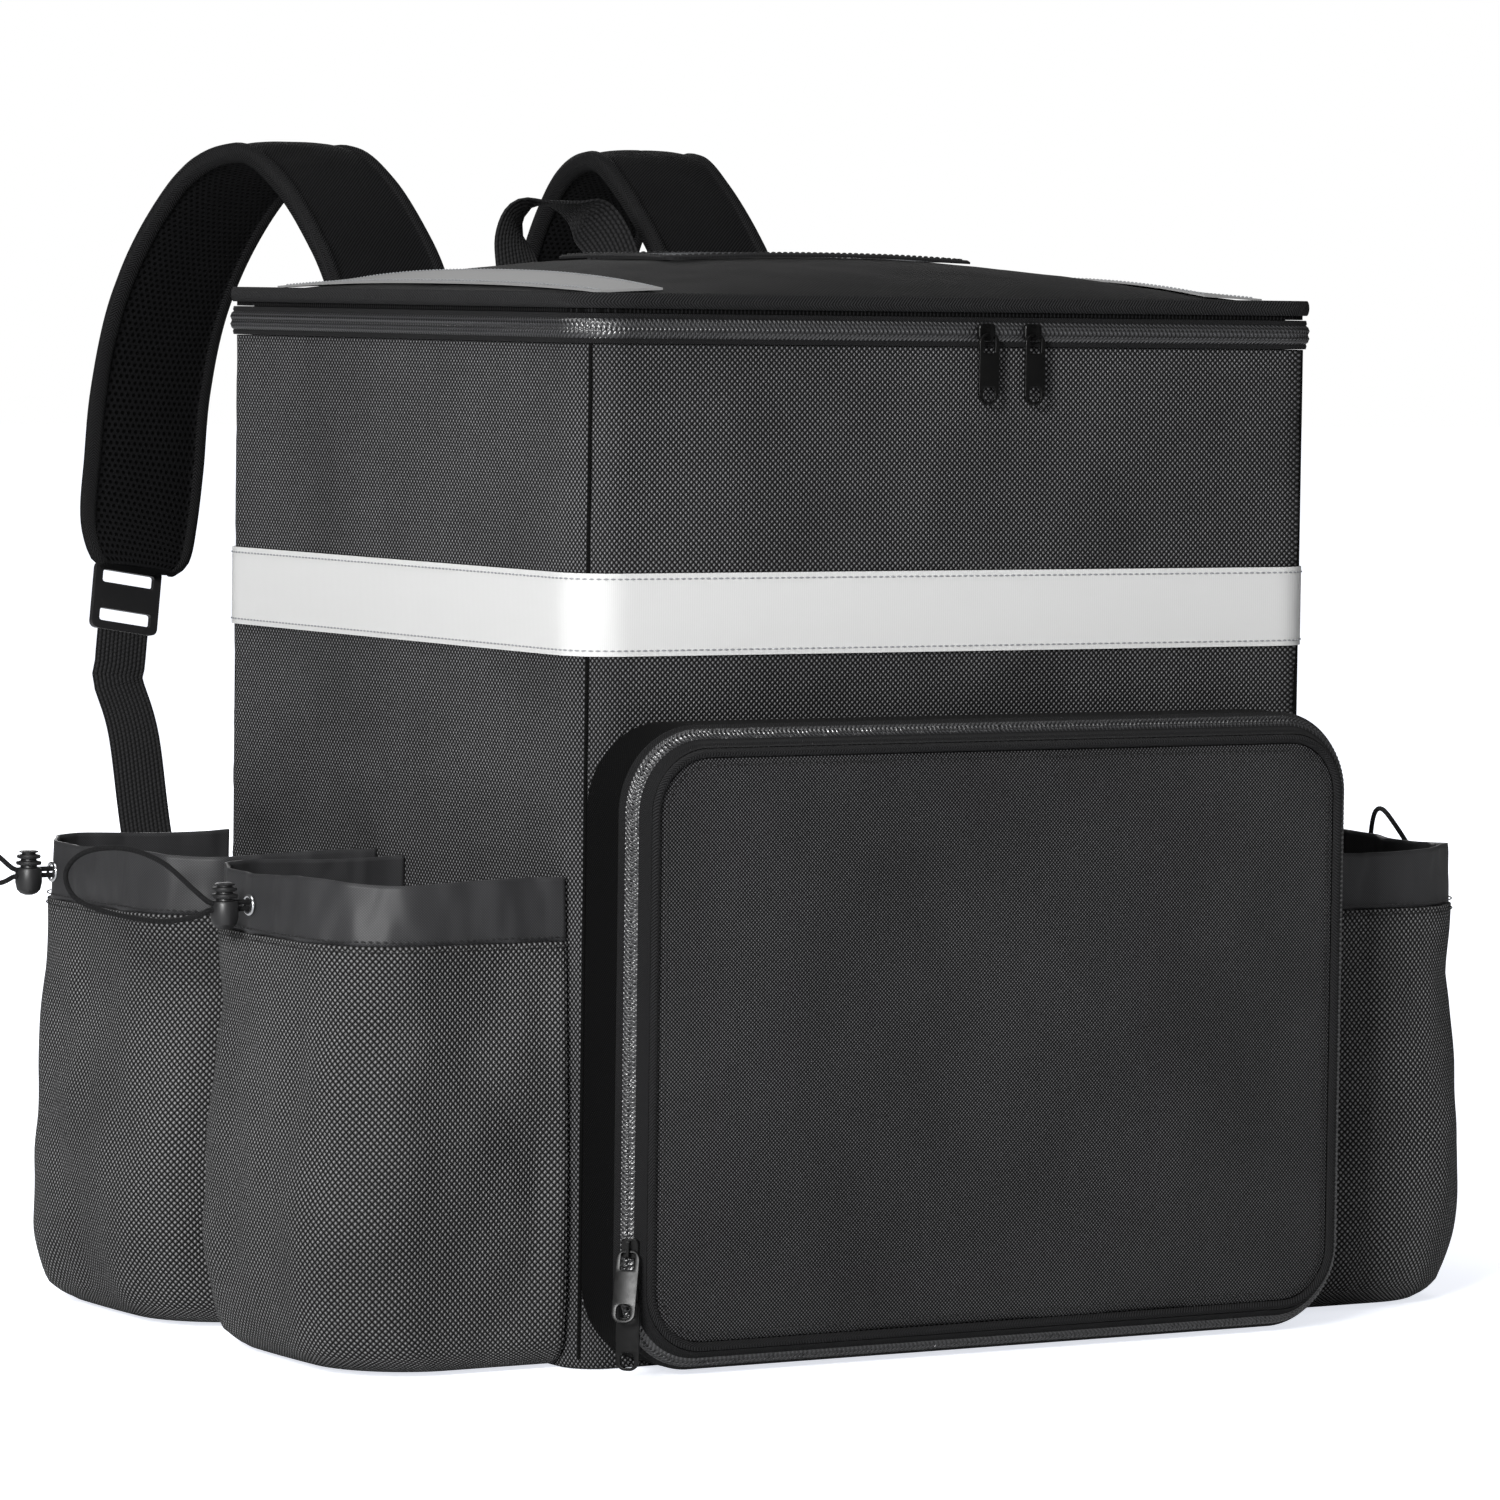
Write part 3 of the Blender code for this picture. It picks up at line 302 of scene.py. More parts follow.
class Lie(Enum):
    """Which way a cloth's threads lie on a piece."""

    WALL = "round the box and up"
    TOP = "across and along"
    SURFACE = "along the piece's own surface"


class Weave(Enum):
    """How the threads of a cloth cross."""

    PLAIN = "plain"
    TWILL = "twill"
    HERRINGBONE = "herringbone"
    RIBBED = "ribbed"
    SATIN = "satin"
    AIR_MESH = "air mesh"
    COIL = "zip coil"


def threads(tree: bpy.types.NodeTree, lie: Lie, pitch: float) -> tuple[Signal, Signal]:
    """Two coordinates that count a pattern's repeats.

    Args:
        tree: The material's node tree.
        lie: Which way the pattern lies.
        pitch: Size of one repeat, in millimetres.

    Returns:
        The count across and the count along.
    """
    source = add_node(tree, "ShaderNodeTexCoord").outputs["UV" if lie is Lie.SURFACE else "Object"]
    split = add_node(tree, "ShaderNodeSeparateXYZ", {0: source})
    x, y, z = (Signal(tree, split.outputs[place]) for place in range(3))
    if lie is Lie.WALL:
        x, y = x.then("SUBTRACT", y), z
    scale = 1000 / pitch
    return x.then("MULTIPLY", scale), y.then("MULTIPLY", scale)


def weave_height(weave: Weave, across: Signal, along: Signal) -> Signal:
    """Height of a cloth's surface, from 0 in the gaps to 1 on the threads.

    Args:
        weave: How the threads cross.
        across: Count of repeats across.
        along: Count of repeats along.

    Returns:
        The height.
    """
    if weave is Weave.PLAIN:
        rising = across.then("ADD", along).then("MULTIPLY", 0.7).wave()
        falling = across.then("SUBTRACT", along).then("MULTIPLY", 0.7).wave()
        return rising.then("MULTIPLY", falling).then("POWER", 2.2)
    if weave is Weave.TWILL:
        ridge = across.then("ADD", along).wave()
        break_up = across.then("SUBTRACT", along).then("MULTIPLY", 1.5).wave()
        return ridge.then("MULTIPLY", 0.7).then("ADD", break_up.then("MULTIPLY", 0.3))
    if weave is Weave.HERRINGBONE:
        zigzag = across.then("MULTIPLY", 0.25).then("PINGPONG", 0.5).then("MULTIPLY", 4.0)
        return along.then("ADD", zigzag).wave()
    if weave is Weave.RIBBED:
        rib = across.wave()
        offset = across.then("FLOOR").then("MULTIPLY", 0.5)
        pick = along.then("ADD", offset).wave()
        return rib.then("MULTIPLY", 0.65).then("ADD", pick.then("MULTIPLY", 0.35))
    if weave is Weave.AIR_MESH:
        offset = along.then("FLOOR").then("MULTIPLY", 0.5)
        hole = across.then("ADD", offset).then("FRACT").then("SUBTRACT", 0.5).then("ABSOLUTE")
        tall = along.then("FRACT").then("SUBTRACT", 0.5).then("ABSOLUTE").then("MULTIPLY", 0.8)
        reach = hole.then("MULTIPLY", hole).then("ADD", tall.then("MULTIPLY", tall)).then("SQRT")
        rim = reach.then("SUBTRACT", 0.16).then("MULTIPLY", 6.0)
        return rim.then("MINIMUM", 1.0).then("MAXIMUM", 0.0)
    if weave is Weave.COIL:
        slant = across.then("ABSOLUTE").then("MULTIPLY", 0.9)
        # The power narrows each tooth's crest, which the coil's material paints light: a painted glint
        return along.then("ADD", slant).wave().then("POWER", 2.5)
    return across.then("MULTIPLY", 0.5).wave().then("MULTIPLY", 0.3)


@dataclass(frozen=True)
class Cloth:
    """A woven or knitted finish.

    The pitch is the thread spacing in millimetres, drawn coarser than life where the real one is too
    fine to show in a picture of the whole bag.
    """

    name: str
    # Colour in the gaps between threads, then on their crowns: the cloth's own colour, with painted shade in
    # the gaps and painted highlights on the crowns
    dark: str
    light: str
    weave: Weave
    lie: Lie
    pitch: float
    relief: float = 0.25
    roughness: float = 0.85
    sheen: float = 0.02
    gloss: float = 0.12
    mottle: float = 0.35
    softness: float = 0.0

    # Repeats in a metre of single fibres, of patches of uneven dye and of slack cloth's slow waves
    fibre_scale = 900.0
    dye_scale = 9.0
    slack_scale = 11.0

    def make(self) -> bpy.types.Material:
        """Builds the material: threads, uneven dye, fuzz and, on slack cloth, soft undulation.

        Returns:
            The material.
        """
        material = bpy.data.materials.new(self.name)
        material.use_nodes = True
        tree = material.node_tree
        shader = tree.nodes["Principled BSDF"]
        across, along = threads(tree, self.lie, self.pitch)
        height = weave_height(self.weave, across, along)
        coordinates = add_node(tree, "ShaderNodeTexCoord").outputs["Object"]
        fibre = add_node(
            tree,
            "ShaderNodeTexNoise",
            {"Vector": coordinates, "Scale": self.fibre_scale, "Detail": 2.0},
        ).outputs["Fac"]
        patch = add_node(
            tree,
            "ShaderNodeTexNoise",
            {"Vector": coordinates, "Scale": self.dye_scale, "Detail": 3.0},
        ).outputs["Fac"]
        uneven = Signal(tree, patch).then("SUBTRACT", 0.5).then("MULTIPLY", self.mottle)
        fuzz = Signal(tree, fibre).then("SUBTRACT", 0.5).then("MULTIPLY", 0.5)
        # The threads' height mixes the two colours: painted shade in the gaps and painted highlights on the
        # crowns, over the cloth's own colour; dye and fuzz vary it at random
        share = height.then("MULTIPLY", uneven.then("ADD", 1.0))
        share = share.then("ADD", fuzz.then("MULTIPLY", height))
        share = share.then("MAXIMUM", 0.0).then("MINIMUM", 1.0)
        colour = add_node(
            tree,
            "ShaderNodeMix",
            {0: share, 6: linear(self.dark), 7: linear(self.light)},
            data_type="RGBA",
        ).outputs[2]
        tree.links.new(colour, shader.inputs["Base Color"])
        relief = height.then("ADD", fuzz.then("MULTIPLY", 0.4))
        bump = add_node(
            tree,
            "ShaderNodeBump",
            {"Height": relief, "Strength": self.relief, "Distance": self.pitch / 1000 * 0.4},
        )
        if self.softness:
            slack = add_node(
                tree,
                "ShaderNodeTexNoise",
                {"Vector": coordinates, "Scale": self.slack_scale, "Detail": 1.5},
            ).outputs["Fac"]
            soft = add_node(
                tree, "ShaderNodeBump", {"Height": slack, "Strength": 1.0, "Distance": self.softness}
            )
            tree.links.new(soft.outputs[0], bump.inputs["Normal"])
        tree.links.new(bump.outputs[0], shader.inputs["Normal"])
        shader.inputs["Roughness"].default_value = self.roughness
        shader.inputs["Sheen Weight"].default_value = self.sheen
        shader.inputs["Sheen Roughness"].default_value = 0.4
        shader.inputs["Specular IOR Level"].default_value = self.gloss
        return material


@dataclass(frozen=True)
class Moulded:
    """A smooth finish of plastic or metal with fine handling marks."""

    name: str
    colour: str
    roughness: float
    metallic: float = 0.0
    shine: float = 0.5
    grain_scale: float = 700.0
    grain: float = 0.04

    def make(self) -> bpy.types.Material:
        """Builds the material, its gloss broken by grain and handling.

        Returns:
            The material.
        """
        material = bpy.data.materials.new(self.name)
        material.use_nodes = True
        tree = material.node_tree
        shader = tree.nodes["Principled BSDF"]
        coordinates = add_node(tree, "ShaderNodeTexCoord").outputs["Object"]
        marks = add_node(
            tree,
            "ShaderNodeTexNoise",
            {"Vector": coordinates, "Scale": self.grain_scale, "Detail": 3.0},
        ).outputs["Fac"]
        rough = Signal(tree, marks).then("MULTIPLY", 0.25).then("ADD", self.roughness - 0.12)
        tree.links.new(rough.then("MAXIMUM", 0.05).socket, shader.inputs["Roughness"])
        bump = add_node(
            tree, "ShaderNodeBump", {"Height": marks, "Strength": self.grain, "Distance": 0.0004}
        )
        tree.links.new(bump.outputs[0], shader.inputs["Normal"])
        shader.inputs["Base Color"].default_value = linear(self.colour)
        shader.inputs["Metallic"].default_value = self.metallic
        shader.inputs["Specular IOR Level"].default_value = self.shine
        return material


@dataclass(frozen=True)
class ClearSleeve:
    """Clear vinyl over dark cloth: see-through, glossy and faintly milky."""

    name: str = "clear vinyl, calendered"
    tint: str = "#c9ccd0"

    def make(self) -> bpy.types.Material:
        """Builds the material, with the slow ripples of a soft sheet.

        Returns:
            The material.
        """
        material = bpy.data.materials.new(self.name)
        material.use_nodes = True
        tree = material.node_tree
        shader = tree.nodes["Principled BSDF"]
        coordinates = add_node(tree, "ShaderNodeTexCoord").outputs["Object"]
        ripple = add_node(
            tree, "ShaderNodeTexNoise", {"Vector": coordinates, "Scale": 35.0, "Detail": 1.0}
        ).outputs["Fac"]
        bump = add_node(tree, "ShaderNodeBump", {"Height": ripple, "Strength": 0.25, "Distance": 0.002})
        tree.links.new(bump.outputs[0], shader.inputs["Normal"])
        shader.inputs["Base Color"].default_value = linear(self.tint)
        shader.inputs["Roughness"].default_value = 0.12
        shader.inputs["Alpha"].default_value = 0.28
        shader.inputs["IOR"].default_value = 1.53
        return material


# Each cloth gives a colour for its thread gaps and one for its thread crowns: its own colour, with painted
# shade in the gaps and painted highlights on the crowns
# 600 denier oxford, PU backed: coarse, flat, charcoal
OXFORD_WALL = Cloth("oxford cloth, charcoal", "#050505", "#8c8c8e", Weave.PLAIN, Lie.WALL, 2.0, 1.0,
                    mottle=1.1, softness=0.014)
OXFORD_SURFACE = Cloth("oxford cloth, charcoal, on pockets", "#080808", "#989899", Weave.PLAIN,
                       Lie.SURFACE, 2.0, 1.0, mottle=1.0, softness=0.022)
# Lid cloth: finer and darker than the walls
LID_CLOTH = Cloth("lid cloth, black", "#060606", "#262627", Weave.PLAIN, Lie.TOP, 1.5, 0.5,
                  gloss=0.05, softness=0.004)
# Fine twill of the straps' outer faces
TWILL = Cloth("twill, black", "#020202", "#1c1c1d", Weave.TWILL, Lie.SURFACE, 1.9, 0.8, softness=0.006,
              sheen=0.01, gloss=0.04)
# Finer cloth of the front pocket's face
PANEL_CLOTH = Cloth("panel cloth, black", "#060606", "#6c6c6e", Weave.PLAIN, Lie.SURFACE, 1.3, 0.8,
                    mottle=0.8, gloss=0.08, softness=0.006)
# Close, dull cloth of the front pocket's sides
GUSSET_TWILL = Cloth("gusset cloth, black", "#050505", "#19191a", Weave.PLAIN, Lie.SURFACE, 1.2, 0.3,
                     sheen=0.01, gloss=0.04)
# Fine twill round the clear sleeve, and on the lid's hinge
TWILL_TOP = Cloth("twill, black, on the lid", "#101011", "#262627", Weave.TWILL, Lie.TOP, 1.5, 0.35)
TWILL_SURFACE_DARK = Cloth("hinge twill, black", "#0c0c0c", "#1e1e1f", Weave.TWILL, Lie.SURFACE,
                           1.2, 0.3)
# Binding tape folded over a raw edge: close herringbone
BINDING = Cloth("herringbone binding, black", "#060606", "#2a2a2b", Weave.HERRINGBONE, Lie.SURFACE, 1.6,
                0.8, mottle=0.15, gloss=0.08)
BINDING_ALONG = Cloth("herringbone binding, black, on the straps", "#020202", "#242425",
                      Weave.HERRINGBONE, Lie.SURFACE, 1.7, 1.0, mottle=0.15, sheen=0.01, gloss=0.06)
# Calendered nylon of the collars: smooth with a soft sheen
COLLAR_NYLON = Cloth("collar nylon, grey", "#262627", "#434345", Weave.PLAIN, Lie.SURFACE, 0.9, 0.12,
                     roughness=0.5, gloss=0.3, softness=0.006)
# Polypropylene webbing with raised ribs along it
WEBBING = Cloth("ribbed webbing, black", "#030303", "#2a2a2b", Weave.RIBBED, Lie.SURFACE, 2.4, 1.0,
                roughness=0.7, mottle=0.15, gloss=0.1)
# Knitted spacer mesh against the shoulders
AIR_MESH = Cloth("air mesh, black", "#010101", "#121213", Weave.AIR_MESH, Lie.SURFACE, 3.4, 0.9,
                 sheen=0.01, gloss=0.04)
# Nylon coil: pairs of slanted teeth in black nylon with real gloss; the light colour on their crests is a
# painted glint
COIL = Cloth("nylon zip coil, black, with painted glints", "#030303", "#3c3c3e", Weave.COIL, Lie.SURFACE, 2.4, 0.3,
             roughness=0.28, sheen=0.0, mottle=0.1, gloss=0.9)
ZIP_TAPE = Cloth("zip tape, black", "#0b0b0b", "#1f1f20", Weave.HERRINGBONE, Lie.SURFACE, 1.1, 0.5)
# Silver tape of glass beads: pale and soft
REFLECTIVE = Cloth("reflective tape, silver", "#c8c8c7", "#dbdbdb", Weave.SATIN, Lie.WALL, 0.6, 0.05,
                   roughness=0.6, sheen=0.0, mottle=0.2)
# The same silver tape on the lid, in darker colours: painted shade, where the lid's top takes more light than
# the walls
REFLECTIVE_TOP_PAINTED_SHADE = Cloth("reflective tape, silver, on the lid, with painted shade", "#8e8e8e", "#a4a4a4", Weave.SATIN,
                       Lie.TOP, 0.6, 0.05, roughness=0.8, sheen=0.0, gloss=0.03)
# Bonded polyester thread
BLACK_THREAD = Moulded("sewing thread, black", "#19191a", 0.7)
GREY_THREAD = Moulded("sewing thread, grey", "#8d8f92", 0.7)
# Zinc casting under black enamel: smooth and dark, with a narrow highlight
BLACK_ENAMEL = Moulded("black enamel on zinc", "#070707", 0.34, 0.0, 0.22, 300.0)
# Nickel on pressed brass: bright and nearly mirror-like
NICKEL = Moulded("nickel plate", "#c9cacc", 0.22, 1.0)
# Acetal mouldings: satin, faintly grained
ACETAL = Moulded("acetal, black", "#1b1b1c", 0.42)
# Braided elastic: fine slanted ribs of covering yarn
ELASTIC = Cloth("braided elastic, black", "#080808", "#1e1e1f", Weave.TWILL, Lie.TOP, 0.9, 0.6)


class Wardrobe:
    """Keeps one material for each finish."""

    made: dict[str, bpy.types.Material] = {}

    @classmethod
    def of(cls, finish: Cloth | Moulded | ClearSleeve) -> bpy.types.Material:
        """The finish's material, built the first time that it is asked for."""
        if finish.name not in cls.made:
            cls.made[finish.name] = finish.make()
        return cls.made[finish.name]


@dataclass(frozen=True)
class Wrinkles:
    """Slow dents and folds of slack cloth."""

    depth: float
    size: float
    stretch: tuple[float, float, float] = (1.0, 1.0, 1.0)
    seed: float = 0.0

    def at(self, point: Vector) -> float:
        """Depth of the dent at a point, from minus half the depth to plus half."""
        place = Vector([value / self.size * part for value, part in zip(point, self.stretch)])
        return self.depth * 0.5 * noise.fractal(place + Vector((self.seed, 3.1, 7.7)), 0.8, 2.0, 3)


def mapped_grid(
    columns: int, rows: int, place: Place, span: tuple[float, float]
) -> bmesh.types.BMesh:
    """A grid bent to a surface, its UV map in metres.

    Args:
        columns: Faces across.
        rows: Faces along.
        place: Gives the surface's point for two shares from 0 to 1.
        span: The surface's size across and along, in metres.

    Returns:
        The open surface.
    """
    shape = bmesh.new()
    layer = shape.loops.layers.uv.new("UVMap")
    bmesh.ops.create_grid(shape, x_segments=columns, y_segments=rows, size=0.5)
    for face in shape.faces:
        for loop in face.loops:
            x, y, _ = loop.vert.co
            loop[layer].uv = ((x + 0.5) * span[0], (y + 0.5) * span[1])
    for vert in shape.verts:
        vert.co = place(vert.co.x + 0.5, vert.co.y + 0.5)
    return shape


def close_up(shape: bmesh.types.BMesh, caps: bool = True) -> bmesh.types.BMesh:
    """Joins a wrapped surface's meeting edges, caps its ends and turns its faces outwards.

    Args:
        shape: The wrapped surface.
        caps: Whether open ends are filled.

    Returns:
        The same mesh.
    """
    bmesh.ops.remove_doubles(shape, verts=shape.verts, dist=0.000002)
    if caps:
        bmesh.ops.holes_fill(shape, edges=[edge for edge in shape.edges if edge.is_boundary], sides=0)
    bmesh.ops.recalc_face_normals(shape, faces=shape.faces)
    return shape


def put(
    name: str,
    shape: bmesh.types.BMesh,
    finishes: Sequence[Cloth | Moulded | ClearSleeve],
    slot: str,
    body: str = BAG,
    stands_for: Sequence[str] = (),
    sharp: float = 40.0,
    solid: float = 0.0,
) -> bpy.types.Object:
    """Makes a finished piece of a mesh.

    Args:
        name: The piece's name.
        shape: Its mesh, which this uses up.
        finishes: Its finishes, in the order of its faces' material numbers.
        slot: The record's material slot; not used.
        body: The body that it moves with.
        stands_for: The nodes that it stands for.
        sharp: Angle in degrees past which an edge stays crisp.
        solid: Thickness that a sheet gets on its inner side.

    Returns:
        The piece.
    """
    mesh = bpy.data.meshes.new(name)
    shape.to_mesh(mesh)
    shape.free()
    mesh.shade_smooth()
    mesh.set_sharp_from_angle(angle=math.radians(sharp))
    for finish in finishes:
        mesh.materials.append(Wardrobe.of(finish))
    piece = bpy.data.objects.new(name, mesh)
    bpy.context.scene.collection.objects.link(piece)
    if solid:
        wall = piece.modifiers.new("cloth thickness", "SOLIDIFY")
        wall.thickness = solid
        wall.offset = -1.0
    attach(piece, body)
    if stands_for:
        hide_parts(*stands_for)
    LOG.info("%s: %d faces", name, len(mesh.polygons))
    return piece


@dataclass(frozen=True)
class Strip:
    """A flat strip with a rounded edge along a route, such as webbing or binding."""

    name: str
    points: Sequence[Vector]
    across: Sequence[Vector]
    width: float
    thickness: float
    finish: Cloth
    slot: str = "webbing"
    stands_for: tuple[str, ...] = ()

    def build(self) -> bpy.types.Object:
        """Bends a grid round the strip's section and along its route.

        Returns:
            The piece.
        """
        section = (
            (-0.5, 0.0), (-0.49, -0.4), (-0.46, -0.5), (0.46, -0.5), (0.49, -0.4), (0.5, 0.0),
            (0.49, 0.4), (0.46, 0.5), (-0.46, 0.5), (-0.49, 0.4), (-0.5, 0.0),
        )
        last = len(self.points) - 1
        length = sum((far - near).length for near, far in zip(self.points, self.points[1:]))

        def place(u: float, v: float) -> Vector:
            """The surface\'s point at two shares of the grid."""
            spot = min(len(section) - 1, round(u * (len(section) - 1)))
            index = min(last, round(v * last))
            along = (self.points[min(index + 1, last)] - self.points[max(index - 1, 0)]).normalized()
            side = self.across[min(index, len(self.across) - 1)]
            side = (side - along * side.dot(along)).normalized()
            face = along.cross(side)
            wide, thick = section[spot]
            return self.points[index] + side * wide * self.width + face * thick * self.thickness

        shape = mapped_grid(len(section) - 1, last, place, (1.0, length))
        layer = shape.loops.layers.uv.active
        for face in shape.faces:
            for loop in face.loops:
                spot = round(loop[layer].uv.x * (len(section) - 1))
                loop[layer].uv.x = section[min(spot, len(section) - 1)][0] * self.width
        close_up(shape)
        return put(self.name, shape, [self.finish], self.slot, stands_for=self.stands_for, sharp=50.0)


@dataclass(frozen=True)
class Stitching:
    """A row of lock stitches along a route, each a small grain of thread."""

    name: str
    points: Sequence[Vector]
    pitch: float = 0.0034
    size: float = 0.00045
    fill: float = 0.84
    finish: Moulded = BLACK_THREAD
    slot: str = "twill_cloth"

    def grains(self, shape: bmesh.types.BMesh) -> None:
        """Adds the row's stitches to a mesh.

        Args:
            shape: The mesh that takes them.
        """
        route = smooth_route(self.points, self.pitch, 8)
        for near, far in zip(route, route[1:]):
            along = far - near
            turn = along.to_track_quat("X", "Z").to_matrix().to_4x4()
            scale = Matrix.Diagonal((self.fill * self.pitch / 2, self.size, self.size, 1.0))
            stand = Matrix.Translation((near + far) / 2) @ turn @ scale
            bmesh.ops.create_icosphere(shape, subdivisions=1, radius=1.0, matrix=stand)

    def build(self) -> bpy.types.Object:
        """Makes the row a piece of its own."""
        shape = bmesh.new()
        self.grains(shape)
        return put(self.name, shape, [self.finish], self.slot)


@dataclass(frozen=True)
class PaddedBox:
    """The padded box: its walls, the seams at its corners and the tape round it."""

    base_round: float = 0.005
    seam_radius: float = 0.0009
    tape_base: float = 0.3335
    tape_width: float = 0.0385
    tape_face: float = 0.0013
    thread_face: float = 0.0015
    stitch_inset: float = 0.0026
    stitch_start: float = 0.105
    end_clear: float = 0.004
    smooth_end: float = 0.02
    wall_span: float = 0.96
    wall_rows: int = 80
    columns: int = 360
    tape_columns: int = 280
    stitch_steps: int = 240
    hollows: Wrinkles = Wrinkles(0.0034, 0.10, (1.0, 1.0, 1.6), 2.0)

    def build(self) -> None:
        """Makes the walls, the corner seams and the tape with its stitching."""
        self.walls()
        self.corner_seams()
        self.tape()

    def walls(self) -> None:
        """Bends a grid round the walls, over their rim and down inside to the floor."""
        top = BOX.zip_base - GAP
        wall = BOX.wall
        rise = top - self.base_round
        section = [(-self.base_round, 0.0), (-self.base_round * 0.3, self.base_round * 0.3)]
        for step in range(self.wall_rows + 1):
            section.append((0.0, self.base_round + rise * step / self.wall_rows))
        section += [(-wall, top), (-wall, 0.6 * top), (-wall, wall)]

        def place(u: float, v: float) -> Vector:
            """The surface\'s point at two shares of the grid."""
            offset, level = section[round(v * (len(section) - 1))]
            x, y, out_x, out_y = BODY_OUTLINE.grown(offset).at(u)
            if offset == 0.0 and self.base_round < level < top - self.end_clear:
                fade = min(1.0, min(level - self.base_round, top - level) / self.smooth_end)
                dent = fade * abs(self.hollows.at(Vector((x, y, level))))
                x, y = x - out_x * dent, y - out_y * dent
            return Vector((x, y, level))

        size = (BODY_OUTLINE.length, self.wall_span)
        shape = mapped_grid(self.columns, len(section) - 1, place, size)
        close_up(shape)
        put("padded_walls", shape, [OXFORD_WALL], "oxford_cloth", stands_for=["body_shell"])

    def corner_seams(self) -> None:
        """Runs a narrow felled seam up each corner."""
        outline = BODY_OUTLINE.grown(-0.35 * self.seam_radius)
        for name, x_side, y_side in (("front_left", -1, -1), ("front_right", 1, -1),
                                     ("back_left", -1, 1), ("back_right", 1, 1)):
            reach = outline.corner / math.sqrt(2)
            x = x_side * (outline.width / 2 - outline.corner + reach)
            y = y_side * (outline.depth / 2 - outline.corner + reach)
            shape = bmesh.new()
            bmesh.ops.create_cone(
                shape, cap_ends=True, segments=12, radius1=self.seam_radius, radius2=self.seam_radius,
                depth=BOX.zip_base - 2 * GAP - self.base_round,
                matrix=Matrix.Translation((x, y, (BOX.zip_base + self.base_round) / 2)),
            )
            put(f"corner_seam_{name}", shape, [BINDING], "twill_cloth")

    def tape(self) -> None:
        """Lays the silver tape round three sides and sews it on along both edges."""
        nodes = [f"reflective_tape_{place}" for place in ("left", "front", "right")]
        back_end = node_box(nodes[0])[1].y
        corner_start = BOX.back - BOX.corner
        past = (back_end - corner_start) / (BOX.corner + self.tape_face)
        turn = math.asin(max(0.0, min(1.0, past)))
        way = BOX.side - BOX.corner + BOX.corner * (math.pi / 2 - turn)
        start = (way + max(0.0, corner_start - back_end)) / BODY_OUTLINE.length
        base, top, face = self.tape_base, self.tape_base + self.tape_width, self.tape_face
        section = ((GAP, base), (face, base), (face, top), (GAP, top), (GAP, base))

        def place_tape(u: float, v: float) -> Vector:
            """The surface\'s point at two shares of the grid."""
            offset, level = section[round((len(section) - 1) * v)]
            x, y, _, _ = BODY_OUTLINE.grown(offset).at(start + (1 - 2 * start) * u)
            return Vector((x, y, level))

        size = (BODY_OUTLINE.length, self.tape_width)
        shape = mapped_grid(self.tape_columns, len(section) - 1, place_tape, size)
        close_up(shape)
        put("reflective_band", shape, [REFLECTIVE], "reflective_tape", stands_for=nodes)
        outline = BODY_OUTLINE.grown(self.thread_face)
        for place, height in (("base", base + self.stitch_inset), ("top", top - self.stitch_inset)):
            points = []
            for step in range(self.stitch_steps + 1):
                share = (1 - 2 * self.stitch_start) * step / self.stitch_steps
                x, y, _, _ = outline.at(self.stitch_start + share)
                points.append(Vector((x, y, height)))
            route = [point for point in points if point.y < BOX.back - self.end_clear]
            row = Stitching(f"tape_stitches_{place}", route, finish=GREY_THREAD, slot="reflective_tape")
            row.build()


def dress_node(node: str, finish: Cloth | Moulded | ClearSleeve) -> None:
    """Gives one of the frame's own pieces a finish.

    Args:
        node: The piece's name.
        finish: Its finish.
    """
    piece = FRAME["nodes"][node]
    piece.data.materials.clear()
    piece.data.materials.append(Wardrobe.of(finish))


